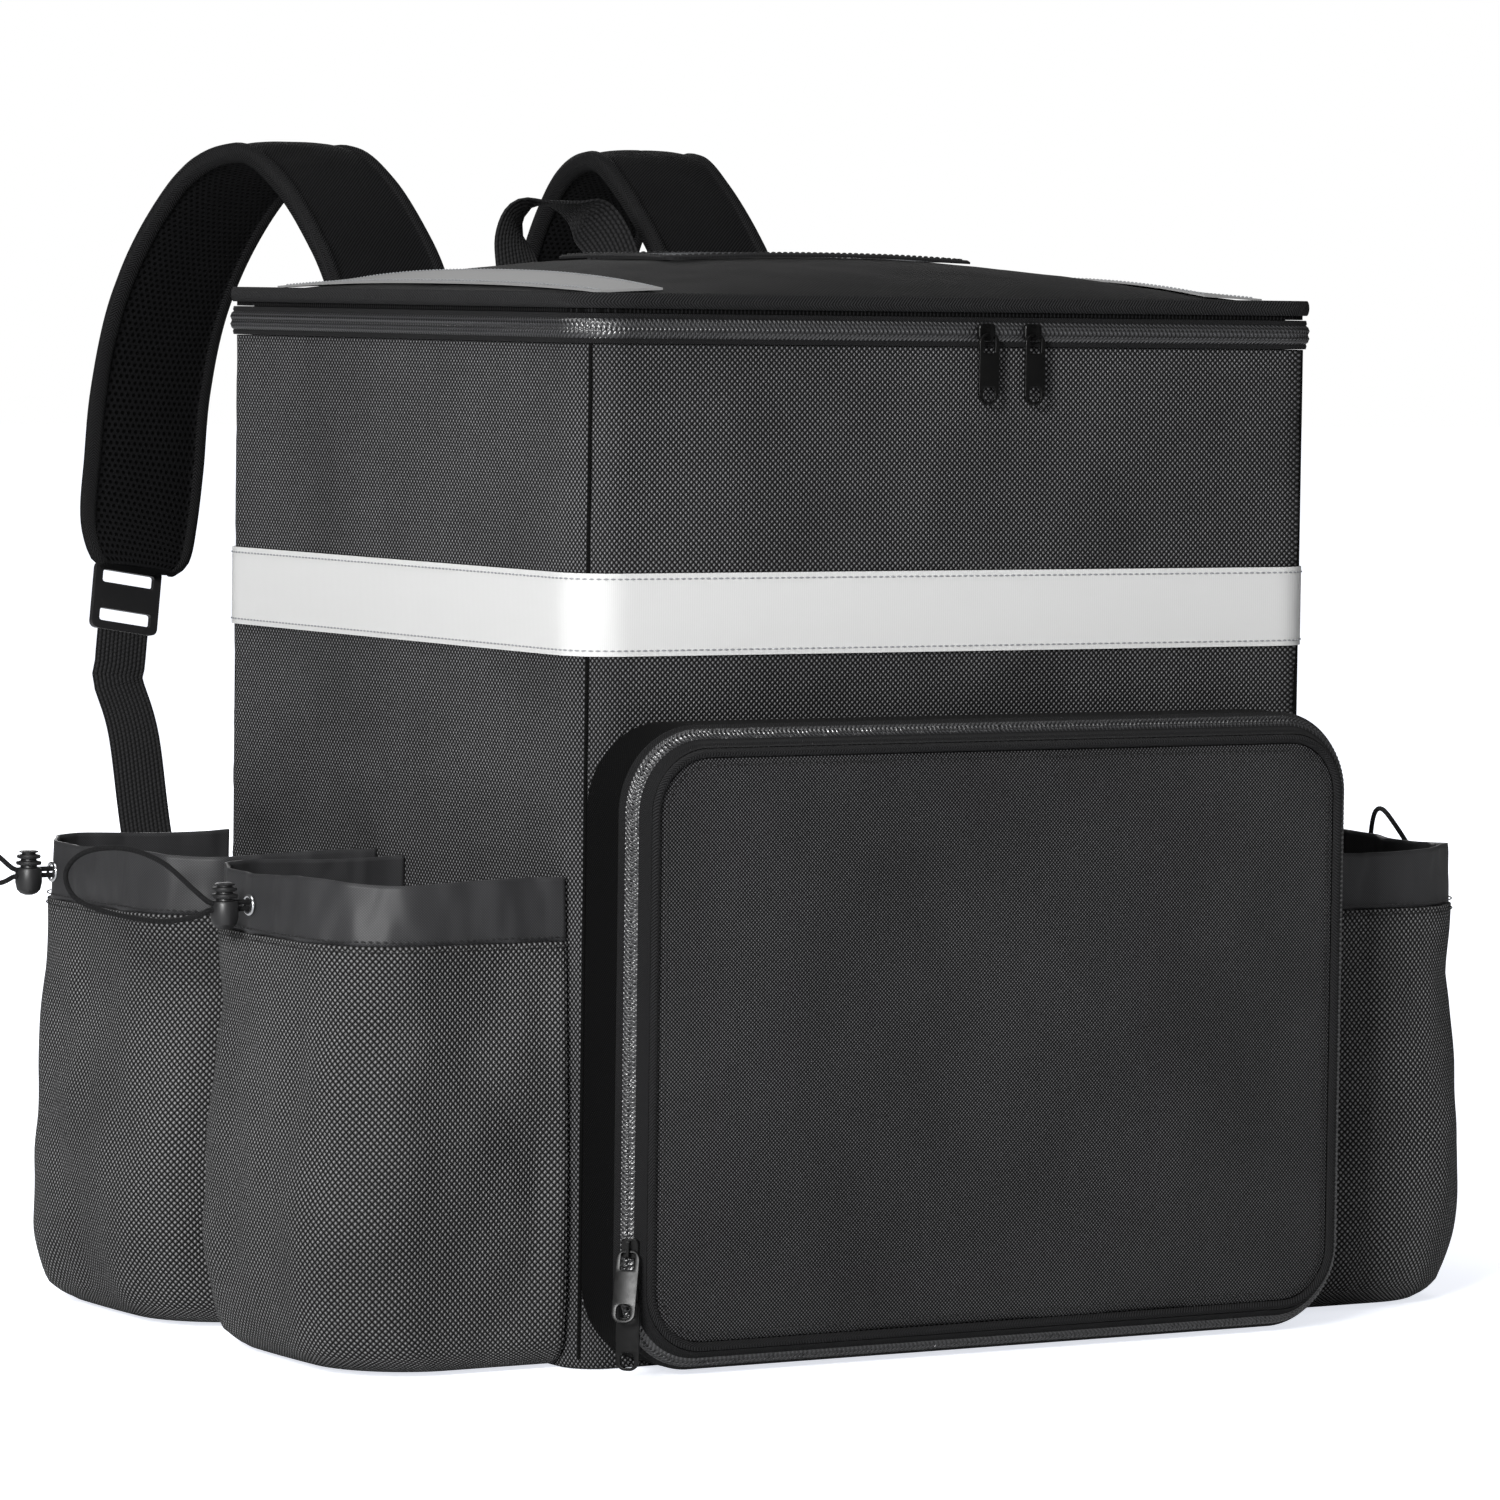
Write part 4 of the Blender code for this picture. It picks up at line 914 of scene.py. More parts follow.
@dataclass(frozen=True)
class Lid:
    """The domed lid with its bound edge, side tapes and clear sleeve."""

    wall: float = 0.007
    welt_width: float = 0.0075
    welt_proud: float = 0.0028
    tape_inset: float = 0.020
    tape_width: float = 0.034
    window: tuple[float, float] = (0.178, 0.112)
    window_corner: float = 0.006
    binding: float = 0.007
    stitch_inset: float = 0.0026
    tape_face: float = 0.0019
    sleeve_face: float = 0.0026
    tape_end: float = 0.004
    columns: int = 240
    welt_columns: int = 300
    welt_steps: int = 14
    welt_round: float = 0.018
    puckers: Wrinkles = Wrinkles(0.0022, 0.075, (1.0, 1.0, 1.0), 9.0)

    def build(self) -> None:
        """Makes the dome, its welt, the tapes and the sleeve."""
        self.dome()
        self.welt()
        self.trim()

    def dome(self) -> None:
        """Bends a grid over the lid from its middle to its edge, down its skirt and back inside."""
        rings, hem = 35, 5

        def place(u: float, v: float) -> Vector:
            """The surface\'s point at two shares of the grid."""
            x, y, _, _ = BODY_OUTLINE.at(u)
            row = round(2 * rings * v)
            if row <= rings:
                share = (row / rings) ** 0.8
                point = Vector((x * share, y * share, 0.0))
                height = BOX.lid_height(point.x, point.y)
                dent = abs(self.puckers.at(Vector((point.x, point.y, 0.0)))) * (1 - share**6)
                point.z = height - dent
                return point
            if row <= rings + hem:
                drop = (BOX.lid_edge - BOX.zip_top - GAP) * (row - rings) / hem
                return Vector((x, y, BOX.lid_edge - drop))
            share = 1 - (row - rings - hem) / (rings - hem)
            inner = (1 - 2 * self.wall / BOX.depth) * share
            height = BOX.lid_height(x * inner, y * inner) - self.wall
            if row == rings + hem + 1:
                height = BOX.zip_top + GAP
            return Vector((x * inner, y * inner, height))

        shape = mapped_grid(self.columns, 2 * rings, place, (BODY_OUTLINE.length, BOX.width))
        close_up(shape)
        put("lid_cover", shape, [LID_CLOTH], "oxford_cloth", stands_for=["lid"])

    def welt(self) -> None:
        """Rolls a bound welt round the lid's edge, and a row of stitches inside it."""
        top = BOX.lid_edge + 0.3 * self.welt_width
        base = top - self.welt_width
        middle = (top + base) / 2

        def place(u: float, v: float) -> Vector:
            """The surface\'s point at two shares of the grid."""
            turn = 2 * math.pi * v
            offset = GAP + 0.5 * self.welt_proud * (1 - math.cos(turn))
            x, y, _, _ = BODY_OUTLINE.grown(offset).at(u)
            return Vector((x, y, middle + 0.5 * self.welt_width * math.sin(turn)))

        shape = mapped_grid(self.welt_columns, self.welt_steps, place, (BODY_OUTLINE.length, self.welt_round))
        swap_uv(shape)
        close_up(shape, caps=False)
        put("lid_edge_welt", shape, [BINDING], "twill_cloth", stands_for=["lid_welt"])

    def trim(self) -> None:
        """Dresses the lid's tapes and sleeve and sews them down."""
        # The lid's tapes get the darker copy of the silver tape: painted shade
        for node in ("lid_tape_left", "lid_tape_right"):
            dress_node(node, REFLECTIVE_TOP_PAINTED_SHADE)
        dress_node("window_binding", TWILL_TOP)
        dress_node("window_sheet", ClearSleeve())
        shape = bmesh.new()
        half = BOX.depth / 2 - BOX.corner - self.tape_end
        steps = 16
        for side in (-1, 1):
            for inset in (self.stitch_inset, self.tape_width - self.stitch_inset):
                x = side * (BOX.side - self.tape_inset - inset)
                route = []
                for step in range(steps + 1):
                    y = half * (2 * step / steps - 1)
                    route.append(Vector((x, y, BOX.lid_height(x, y) + self.tape_face)))
                Stitching("", route).grains(shape)
        put("lid_tape_stitches", shape, [GREY_THREAD], "reflective_tape")
        wide, deep = (side - self.binding for side in self.window)
        outline = RoundedRectangle(wide, deep, self.window_corner)
        route = []
        steps = 64
        for step in range(steps + 1):
            x, y, _, _ = outline.at(step / steps)
            route.append(Vector((x, y, BOX.lid_height(x, y) + self.sleeve_face)))
        Stitching("window_stitches", route, finish=BLACK_THREAD).build()


TOOTH_PITCH = 0.0024
TOOTH_DEPTH = 0.0011
TOOTH_SLANT = 0.9
TOOTH_BLUNTNESS = 0.7


def tooth(way: float, side: float) -> float:
    """Height of a zip coil's surface, from 0 between two teeth to 1 on a tooth.

    Args:
        way: Distance along the coil.
        side: Distance from its middle line, which slants the teeth.

    Returns:
        The height.
    """
    return abs(math.sin(math.pi * (way + TOOTH_SLANT * abs(side)) / TOOTH_PITCH)) ** TOOTH_BLUNTNESS


def swap_uv(shape: bmesh.types.BMesh) -> None:
    """Turns a mesh's UV map a quarter, so that a pattern that runs along v runs along u.

    Args:
        shape: The mesh.
    """
    layer = shape.loops.layers.uv.active
    for face in shape.faces:
        for loop in face.loops:
            loop[layer].uv = (loop[layer].uv.y, loop[layer].uv.x)


@dataclass(frozen=True)
class MainZip:
    """The coil zip round the front and sides under the lid, and the cloth hinge at the back."""

    tape_proud: float = 0.0016
    coil_proud: float = 0.0034
    coil_width: float = 0.0075
    coil_shoulder: float = 0.0006
    coil_groove: float = 0.0008
    hem: float = 0.0016
    hem_proud: float = 0.0004
    flange: float = 0.0095
    flange_rise: float = 0.004
    flange_wall: float = 0.0008
    column_on_coil: float = 0.0004
    column_on_cloth: float = 0.006

    def build(self) -> None:
        """Makes the zip's tape and coil on three sides, and the hinge on the fourth."""
        base, top = BOX.zip_base, BOX.zip_top
        middle = (top + base) / 2
        half = self.coil_width / 2
        tape, coil = self.tape_proud, self.coil_proud
        shoulder = coil - self.coil_shoulder
        back = -self.flange
        section = (
            (back, base), (tape, base), (tape + self.hem_proud, base + self.hem),
            (tape, middle - half - 0.0008), (shoulder, middle - half + 0.0002),
            (coil, middle - 0.5 * half), (coil - self.coil_groove, middle),
            (coil, middle + 0.5 * half), (shoulder, middle + half - 0.0002),
            (tape, middle + half + 0.0008), (tape + self.hem_proud, top - self.hem),
            (tape, top), (back + self.flange_wall, top),
            (back + self.flange_wall, top + self.flange_rise), (back, top + self.flange_rise), (back, base),
        )
        start, end = self.corner_shares()
        self.band("main_zip", section, start, end, "main_zipper", (3, 9))
        hinge = section[:2] + section[11:]
        self.band("hinge_cloth", hinge, end - 1.0, start, "lid_hinge", (9, 9))

    def corner_shares(self) -> tuple[float, float]:
        """Shares of the outline at the middles of the back left and back right corners."""
        arc = math.pi / 2 * BOX.corner
        first = (BOX.width / 2 - BOX.corner + arc / 2) / BODY_OUTLINE.length
        return first, 1 - first

    def band(
        self,
        name: str,
        section: Sequence[Point],
        start: float,
        end: float,
        node: str,
        coil: tuple[int, int],
    ) -> None:
        """Bends a grid round a section and along part of the box's outline.

        Args:
            name: The piece's name.
            section: Offsets and heights round the band.
            start: Share of the outline where it starts.
            end: Share where it ends.
            node: The node that it stands for.
            coil: First and last step of the section that carry the coil.
        """
        steps = len(section) - 1
        length = abs(end - start) * BODY_OUTLINE.length
        has_coil = coil[0] < coil[1]
        columns = round(length / (self.column_on_coil if has_coil else self.column_on_cloth))
        middle = (BOX.zip_top + BOX.zip_base) / 2

        def place(u: float, v: float) -> Vector:
            """The surface\'s point at two shares of the grid."""
            spot = min(steps, round(v * steps))
            offset, height = section[spot]
            if coil[0] < spot < coil[1]:
                offset -= TOOTH_DEPTH * (1 - tooth(u * length, height - middle))
            x, y, _, _ = BODY_OUTLINE.grown(offset).at((start + (end - start) * u) % 1.0)
            return Vector((x, y, height))

        shape = mapped_grid(columns, steps, place, (1.0, 1.0))
        layer = shape.loops.layers.uv.active
        for face in shape.faces:
            row = min(loop[layer].uv.y for loop in face.loops) * steps
            on_coil = coil[0] <= round(row) < coil[1]
            face.material_index = 1 if on_coil else 0
            for loop in face.loops:
                spot = min(steps, round(loop[layer].uv.y * steps))
                loop[layer].uv = (section[spot][1] - middle, loop[layer].uv.x * length)
        close_up(shape)
        finishes = [ZIP_TAPE, COIL] if has_coil else [TWILL_SURFACE_DARK]
        put(name, shape, finishes, "zip_nylon", stands_for=[node], sharp=60.0)


@dataclass(frozen=True)
class FrontPocket:
    """The zipped pocket on the front, its zip turned round the corner at 45 degrees."""

    width: float = 0.409
    height: float = 0.300
    base: float = 0.0030
    corner: float = 0.040
    gusset: float = 0.029
    cloth: float = 0.0020
    turn: float = 0.0140
    seam: float = 0.0098
    proud: float = 0.0012
    piping: float = 0.0021
    panel_wall: float = 0.0030
    crown: float = 0.0050
    face_rows: float = 0.85
    rolled_edge: float = 0.025
    roll_drop: float = 0.0008
    stitch_inset: float = 0.0035
    coil_columns: int = 3300
    slack: Wrinkles = Wrinkles(0.0022, 0.12, (1.0, 1.0, 1.0), 5.0)

    # The zip over the turned corner, from its first tape to its last: share of the turn, how proud
    zip_bumps = (
        (0.14, 0.35), (0.18, 1.0), (0.26, 1.15), (0.30, 0.9), (0.34, 1.15), (0.42, 1.0), (0.46, 0.3),
    )

    @property
    def outline(self) -> RoundedRectangle:
        """The pocket's outline, seen from the front."""
        return RoundedRectangle(self.width, self.height, self.corner)

    def stand(self, a: float, b: float, depth: float) -> Vector:
        """A point of the pocket, from its own across, up and depth."""
        return Vector((a, BOX.front - depth, self.base + self.height / 2 + b))

    def ring(
        self,
        name: str,
        section: Sequence[Point],
        finishes: Sequence[Cloth],
        node: str,
        coil: tuple[int, int] = (0, 0),
        slot: str = "twill_cloth",
        columns: int = 320,
    ) -> None:
        """Bends a grid round a section and round the pocket's outline.

        Args:
            name: The piece's name.
            section: Offsets and depths round the band, closed.
            finishes: The band's finish, and the coil's where it has one.
            node: The node that it stands for.
            coil: First and last step of the section that carry the coil.
            slot: The record's material slot.
            columns: Faces round the outline.
        """
        steps = len(section) - 1
        runs = [0.0]
        for near, far in zip(section, section[1:]):
            runs.append(runs[-1] + math.dist(near, far))
        half_way = (runs[coil[0]] + runs[coil[1]]) / 2

        def place(u: float, v: float) -> Vector:
            """The surface\'s point at two shares of the grid."""
            spot = min(steps, round(v * steps))
            offset, depth = section[spot]
            if coil[0] < spot < coil[1]:
                valley = 1 - tooth(u * self.outline.length, runs[spot] - half_way)
                sunk = TOOTH_DEPTH * valley / math.sqrt(2)
                offset, depth = offset - sunk, depth - sunk
            a, b, _, _ = self.outline.grown(offset).at(u)
            return self.stand(a, b, depth)

        shape = mapped_grid(columns, steps, place, (1.0, 1.0))
        layer = shape.loops.layers.uv.active
        for face in shape.faces:
            row = round(min(loop[layer].uv.y for loop in face.loops) * steps)
            face.material_index = 1 if coil[0] <= row < coil[1] else 0
            for loop in face.loops:
                spot = min(steps, round(loop[layer].uv.y * steps))
                loop[layer].uv = (runs[spot] - half_way, loop[layer].uv.x * self.outline.length)
        close_up(shape, caps=False)
        put(name, shape, finishes, slot, stands_for=[node], sharp=50.0)

    def build(self) -> None:
        """Makes the gusset, the zip, the piping and the face panel with its stitching."""
        edge, cloth, turn = self.gusset, self.cloth, self.turn
        self.ring("pocket_gusset", ((0.0, GAP), (0.0, edge), (-cloth, edge), (-cloth, GAP), (0.0, GAP)),
                  [GUSSET_TWILL], "front_pocket_gusset")
        proud = self.proud / math.sqrt(2)
        face = edge + turn
        straight = 0.12
        section = [(0.0, edge + GAP), (0.0, edge + straight * turn)]
        for share, lift in self.zip_bumps:
            depth = edge + (share + straight) * turn + lift * proud
            section.append((lift * proud - share * turn, depth))
        inner = 0.7 * cloth
        section += [
            (-0.0072, edge + 0.68 * turn), (-0.0086, edge + 0.86 * turn), (-self.seam, face),
            (-self.seam, face - cloth), (-0.0072 - inner, edge + 0.68 * turn - inner),
            (-0.14 * turn - inner, edge + 0.26 * turn - inner), (-cloth, edge + GAP), (0.0, edge + GAP),
        ]
        self.ring("pocket_zip", section, [ZIP_TAPE, COIL], "front_pocket_zipper", (2, 8), "zip_nylon",
                  self.coil_columns)
        middle = self.seam + GAP + self.piping
        bead = []
        steps = 12
        for step in range(steps + 1):
            way = 2 * math.pi * step / steps
            bead.append((-middle + self.piping * math.cos(way), face + self.piping * math.sin(way)))
        self.ring("pocket_piping", bead, [BINDING], "front_pocket_piping")
        self.panel(face)

    def panel(self, face: float) -> None:
        """Makes the crowned face panel and the stitches inside its piping.

        Args:
            face: Depth of the panel's edge.
        """
        inset = self.seam + 2 * self.piping + 2 * GAP
        outline = self.outline.grown(-inset)

        def swell(a: float, b: float) -> float:
            """How far the panel stands out at a point, less its dents."""
            across = min(1.0, abs(2 * a / outline.width)) ** 2
            along = min(1.0, abs(2 * b / outline.depth)) ** 2
            dent = abs(self.slack.at(Vector((a, 0.0, b)))) * min(1.0, 3 * (1 - across) * (1 - along))
            return self.crown * (1 - across) * (1 - along) - dent

        def place(u: float, v: float) -> Vector:
            """The surface\'s point at two shares of the grid."""
            share = (v / self.face_rows) ** 0.85 if v < self.face_rows else 1.0
            a, b, _, _ = outline.at(u)
            rolled = max(0.0, share + self.rolled_edge - 1) / self.rolled_edge
            drop = self.roll_drop * rolled**2
            if v > self.face_rows:
                drop += self.panel_wall * (v - self.face_rows) / (1 - self.face_rows)
            return self.stand(a * share, b * share, face + swell(a * share, b * share) - drop)

        shape = mapped_grid(260, 60, place, (1.0, 1.0))
        layer = shape.loops.layers.uv.active
        for grid_face in shape.faces:
            for loop in grid_face.loops:
                loop[layer].uv = (loop.vert.co.x, loop.vert.co.z)
        close_up(shape)
        put("pocket_panel", shape, [PANEL_CLOTH], "twill_cloth", stands_for=["front_pocket_panel"],
            sharp=70.0)
        seam = self.outline.grown(-inset - self.stitch_inset)
        route = []
        steps = 160
        for step in range(steps + 1):
            a, b, _, _ = seam.at(step / steps)
            route.append(self.stand(a, b, face + swell(a, b) + 0.0001))
        Stitching("panel_stitches", route, 0.0036).build()


@dataclass(frozen=True)
class CupPocket:
    """An open pocket on the bag's side, with its gathered collar."""

    place: str
    side: int
    middle: float
    eyelet: float
    reach: float = 0.119
    length: float = 0.166
    base: float = 0.0025
    height: float = 0.1980
    corner: float = 0.042
    bulge: float = 0.03
    wall: float = 0.0020
    collar_height: float = 0.0290
    collar_wall: float = 0.0018
    gathers: int = 13
    gather_depth: float = 0.0012
    thread: float = 0.0004
    row_spacing: float = 0.0045
    way_round: float = 0.36
    collar_round: float = 0.33
    columns: int = 120
    collar_columns: int = 220
    collar_rows: int = 14

    # Height, reach and length as shares of the pocket's, from its floor up
    sections = (
        (0.0, 0.84, 0.88), (0.022, 0.92, 0.945), (0.07, 0.985, 0.99),
        (0.24, 1.02, 1.01), (0.6, 1.0, 1.0), (1.0, 0.955, 0.965),
    )
    # Reach and length of the collar's foot and of its top, and of the stitches under it
    collar_shares = ((0.955, 0.965), (0.947, 0.957))
    stitch_shares = (0.957, 0.967)
    floor_share = 0.2

    def outline(
        self, reach: float, length: float, share: float, grow: float = 0.0
    ) -> tuple[float, float, float]:
        """A point of the pocket's outline, from the wall out, along and back.

        Args:
            reach: How far it stands out, as a share of the pocket's reach.
            length: Its length, as a share of the pocket's.
            share: Way along the outline, from 0 to 1.
            grow: How far outside the outline the point lies.

        Returns:
            The place out, the place along and the way from the outline's middle.
        """
        far = self.reach * reach + grow
        half = self.length * length / 2 + grow
        corner = self.corner + grow
        straight = far - corner
        arc = corner * math.pi / 2
        total = 2 * straight + 2 * arc + 2 * (half - corner)
        way = total * share
        near_way = min(way, total - way)
        if near_way < straight:
            out, along = near_way, -half
        elif near_way < straight + arc:
            turn = (near_way - straight) / corner
            out, along = straight + corner * math.sin(turn), -half + corner * (1 - math.cos(turn))
        else:
            out, along = far, -half + corner + near_way - straight - arc
        out += self.bulge * self.reach * max(0.0, 1 - (along / half) ** 2) * out / far
        return out, (along if way <= total / 2 else -along), way - total / 2

    def stand(self, out: float, along: float, height: float) -> Vector:
        """A point of the pocket in the bag's frame."""
        return Vector((self.side * (BOX.side + GAP + out), self.middle + along, height))

    @property
    def slack(self) -> Wrinkles:
        """The pocket cloth's own folds."""
        return Wrinkles(0.0110, 0.080, (1.0, 1.0, 0.7), 11.0 + self.middle * 40 + self.side)

    def build(self) -> None:
        """Makes the pocket, its collar and the stitching between them."""
        self.bowl()
        self.collar()
        self.seam()

    def bowl(self) -> None:
        """Bends a grid over the pocket's floor and up its wall."""
        size = (self.height, self.reach, self.length)
        route = [[share * side for share, side in zip(row, size)] for row in self.sections]
        profile = smooth_route(route, self.row_spacing)
        last = len(profile) - 1
        rows = round(last / (1 - self.floor_share))
        slack = self.slack

        def place(u: float, v: float) -> Vector:
            """The surface\'s point at two shares of the grid."""
            wall = max(0.0, (v - self.floor_share) / (1 - self.floor_share))
            height, reach, length = profile[min(last, round(wall * last))]
            out, along, _ = self.outline(reach / self.reach, length / self.length, u)
            if v < self.floor_share:
                share = v / self.floor_share
                return self.stand(out * share, along * share, self.base)
            point = self.stand(out, along, self.base + height)
            fade = min(1.0, 8 * wall, 6 * (1 - wall), out / 0.015)
            away = Vector((out, along)).normalized()
            dent = min(0.0, slack.at(point) * fade - 0.4 * slack.depth * fade)
            return self.stand(max(0.0, out + dent * away.x), along + dent * away.y, self.base + height)

        shape = mapped_grid(self.columns, rows, place,
                            (self.way_round, self.height / (1 - self.floor_share)))
        close_up(shape, caps=False)
        put(f"cup_pocket_{self.place}_cloth", shape, [OXFORD_SURFACE], "oxford_cloth",
            stands_for=[f"cup_pocket_{self.place}"], sharp=60.0, solid=self.wall)

    def collar(self) -> None:
        """Bends a grid round the collar, its gathers spreading from the eyelet."""
        foot = self.base + self.height + GAP
        slack = Wrinkles(0.0045, 0.030, (1.0, 1.0, 0.5), 3.0 + self.middle * 60 + self.side)

        def place(u: float, v: float) -> Vector:
            """The surface\'s point at two shares of the grid."""
            reach, length = (low + (high - low) * v for low, high in zip(*self.collar_shares))
            out, along, way = self.outline(reach, length, u)
            away = Vector((out, along)).normalized()
            gathers = math.cos(2 * math.pi * self.gathers * (way - self.eyelet) / self.collar_round)
            pull = self.gather_depth * (0.35 + 0.65 * v) * 0.5 * (1 - gathers)
            near = min(1.0, abs(way - self.eyelet) / 0.02)
            point = self.stand(out, along, foot + self.collar_height * v)
            pull += near * max(0.0, slack.at(point) + 0.3 * slack.depth) * min(1.0, out / 0.01)
            wave = 0.0010 * math.sin(55 * along + 40 * out + self.side) * v
            return self.stand(max(0.0, out - pull * away.x), along - pull * away.y, point.z + wave)

        shape = mapped_grid(self.collar_columns, self.collar_rows, place,
                            (self.collar_round, self.collar_height))
        close_up(shape, caps=False)
        put(f"collar_{self.place}_cloth", shape, [COLLAR_NYLON], "smooth_nylon",
            stands_for=[f"pocket_collar_{self.place}"], sharp=60.0, solid=self.collar_wall)

    def seam(self) -> None:
        """Sews a row of stitches just under the collar's foot and one just above it."""
        shape = bmesh.new()
        rim = self.base + self.height
        steps = 60
        for height, shares, grow in (
            (rim - 0.0022, self.stitch_shares, 0.0002), (rim + 0.0026, self.collar_shares[0], 0.0001),
        ):
            route = []
            for step in range(steps + 1):
                out, along, _ = self.outline(*shares, step / steps, grow)
                route.append(self.stand(out, along, height))
            Stitching("", route, size=self.thread).grains(shape)
        put(f"collar_stitches_{self.place}", shape, [BLACK_THREAD], "smooth_nylon")


@dataclass(frozen=True)
class Drawstring:
    """A collar's eyelet, its elastic cord in a free loop, and the barrel lock on the cord."""

    pocket: CupPocket
    diameter: float = 0.0025
    eyelet_thickness: float = 0.0012
    lock_reach: float = 0.0130
    lock_radius: float = 0.0066
    lock_length: float = 0.0220
    spacing: float = 0.0024

    # The cord's route from the eyelet's middle: out, back along the bag and up
    route = (
        (0.0004, 0.0000, 0.00155), (0.0070, 0.0000, 0.00155), (0.0130, 0.0000, 0.00155),
        (0.0205, 0.0000, 0.00170), (0.0250, 0.0070, 0.00700), (0.0310, 0.0300, 0.01900),
        (0.0400, 0.0520, 0.02400), (0.0500, 0.0720, 0.02100), (0.0550, 0.0820, 0.01100),
        (0.0520, 0.0780, -0.00100), (0.0430, 0.0580, -0.00700), (0.0310, 0.0310, -0.00900),
        (0.0240, 0.0090, -0.00550), (0.0205, 0.0000, -0.00170), (0.0130, 0.0000, -0.00155),
        (0.0070, 0.0000, -0.00155), (0.0004, 0.0000, -0.00155),
    )
    # The barrel lock from its low end up: height and radius, as shares of its own
    lock_profile = (
        (-0.500, 0.0), (-0.497, 0.30), (-0.46, 0.62), (-0.38, 0.88), (-0.22, 1.0), (0.06, 1.0),
        (0.105, 0.93), (0.12, 0.64), (0.16, 0.62), (0.175, 0.90), (0.215, 0.96), (0.255, 0.90),
        (0.27, 0.60), (0.305, 0.58), (0.32, 0.84), (0.36, 0.90), (0.40, 0.84), (0.415, 0.52),
        (0.44, 0.52), (0.452, 0.70), (0.475, 0.72), (0.497, 0.55), (0.500, 0.0),
    )

    @property
    def start(self) -> Vector:
        """The middle of the eyelet's inner face."""
        low, high = node_box(f"eyelet_{self.pocket.place}")
        middle = (low + high) / 2
        middle.x += -self.pocket.side * self.eyelet_thickness / 2
        return middle

    def build(self) -> None:
        side, place = self.pocket.side, self.pocket.place
        start = self.start
        route = smooth_route(self.route, self.spacing)
        points = [start + Vector((side * out, back, up)) for out, back, up in route]
        line = bpy.data.curves.new(f"elastic_{place}", "CURVE")
        line.dimensions = "3D"
        line.bevel_depth = self.diameter / 2
        line.bevel_resolution = 4
        line.use_fill_caps = True
        spline = line.splines.new("POLY")
        spline.points.add(len(points) - 1)
        for knot, point in zip(spline.points, points):
            knot.co = (*point, 1.0)
        cord = bpy.data.objects.new(f"elastic_{place}", line)
        bpy.context.scene.collection.objects.link(cord)
        line.materials.append(Wardrobe.of(ELASTIC))
        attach(cord, BAG)
        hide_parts(f"drawcord_{place}")
        length = sum((far - near).length for near, far in zip(points, points[1:]))
        lock = self.lock(start)
        tuple(points[0])
        self.eyelet(start)

    def lock(self, start: Vector) -> bpy.types.Object:
        """Turns the barrel lock, with the fins that fingers press.

        Args:
            start: The middle of the eyelet's inner face.

        Returns:
            The lock.
        """
        shape = bmesh.new()
        knots = [shape.verts.new((self.lock_radius * radius, 0.0, self.lock_length * height))
                 for height, radius in self.lock_profile]
        edges = [shape.edges.new(pair) for pair in zip(knots, knots[1:])]
        bmesh.ops.spin(shape, geom=knots + edges, cent=(0, 0, 0), axis=(0, 0, 1), angle=2 * math.pi,
                       steps=ROUND_STEPS, use_merge=True, use_duplicate=False)
        close_up(shape, caps=False)
        centre = start + Vector((self.pocket.side * self.lock_reach, 0.0, 0.0))
        bmesh.ops.translate(shape, verts=shape.verts, vec=centre)
        return put(f"barrel_lock_{self.pocket.place}", shape, [ACETAL], "hard_plastic",
                   stands_for=[f"cord_lock_{self.pocket.place}"], sharp=30.0)

    def eyelet(self, start: Vector) -> None:
        """Turns the eyelet's rolled ring.

        Args:
            start: The middle of the eyelet's inner face.
        """
        shape = bmesh.new()
        thickness = self.eyelet_thickness
        section = (
            (0.0036, 0.0), (0.0036, 0.75), (0.0040, 1.0), (0.0044, 1.0), (0.0049, 0.75), (0.0052, 0.2),
            (0.0052, 0.0),
        )
        knots = [shape.verts.new((thickness * height, radius, 0.0)) for radius, height in section]
        edges = [shape.edges.new(pair) for pair in zip(knots, knots[1:] + knots[:1])]
        bmesh.ops.spin(shape, geom=knots + edges, cent=(0, 0, 0), axis=(1, 0, 0), angle=2 * math.pi,
                       steps=ROUND_STEPS, use_merge=True, use_duplicate=False)
        bmesh.ops.scale(shape, verts=shape.verts, vec=(self.pocket.side, 1, 1))
        bmesh.ops.translate(shape, verts=shape.verts, vec=start)
        close_up(shape, caps=False)
        put(f"eyelet_{self.pocket.place}_ring", shape, [NICKEL], "nickel",
            stands_for=[f"eyelet_{self.pocket.place}"], sharp=50.0)


def node_box(node: str) -> tuple[Vector, Vector]:
    """The low and high corners of a frame node's box."""
    low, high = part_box(node)
    return Vector(low), Vector(high)


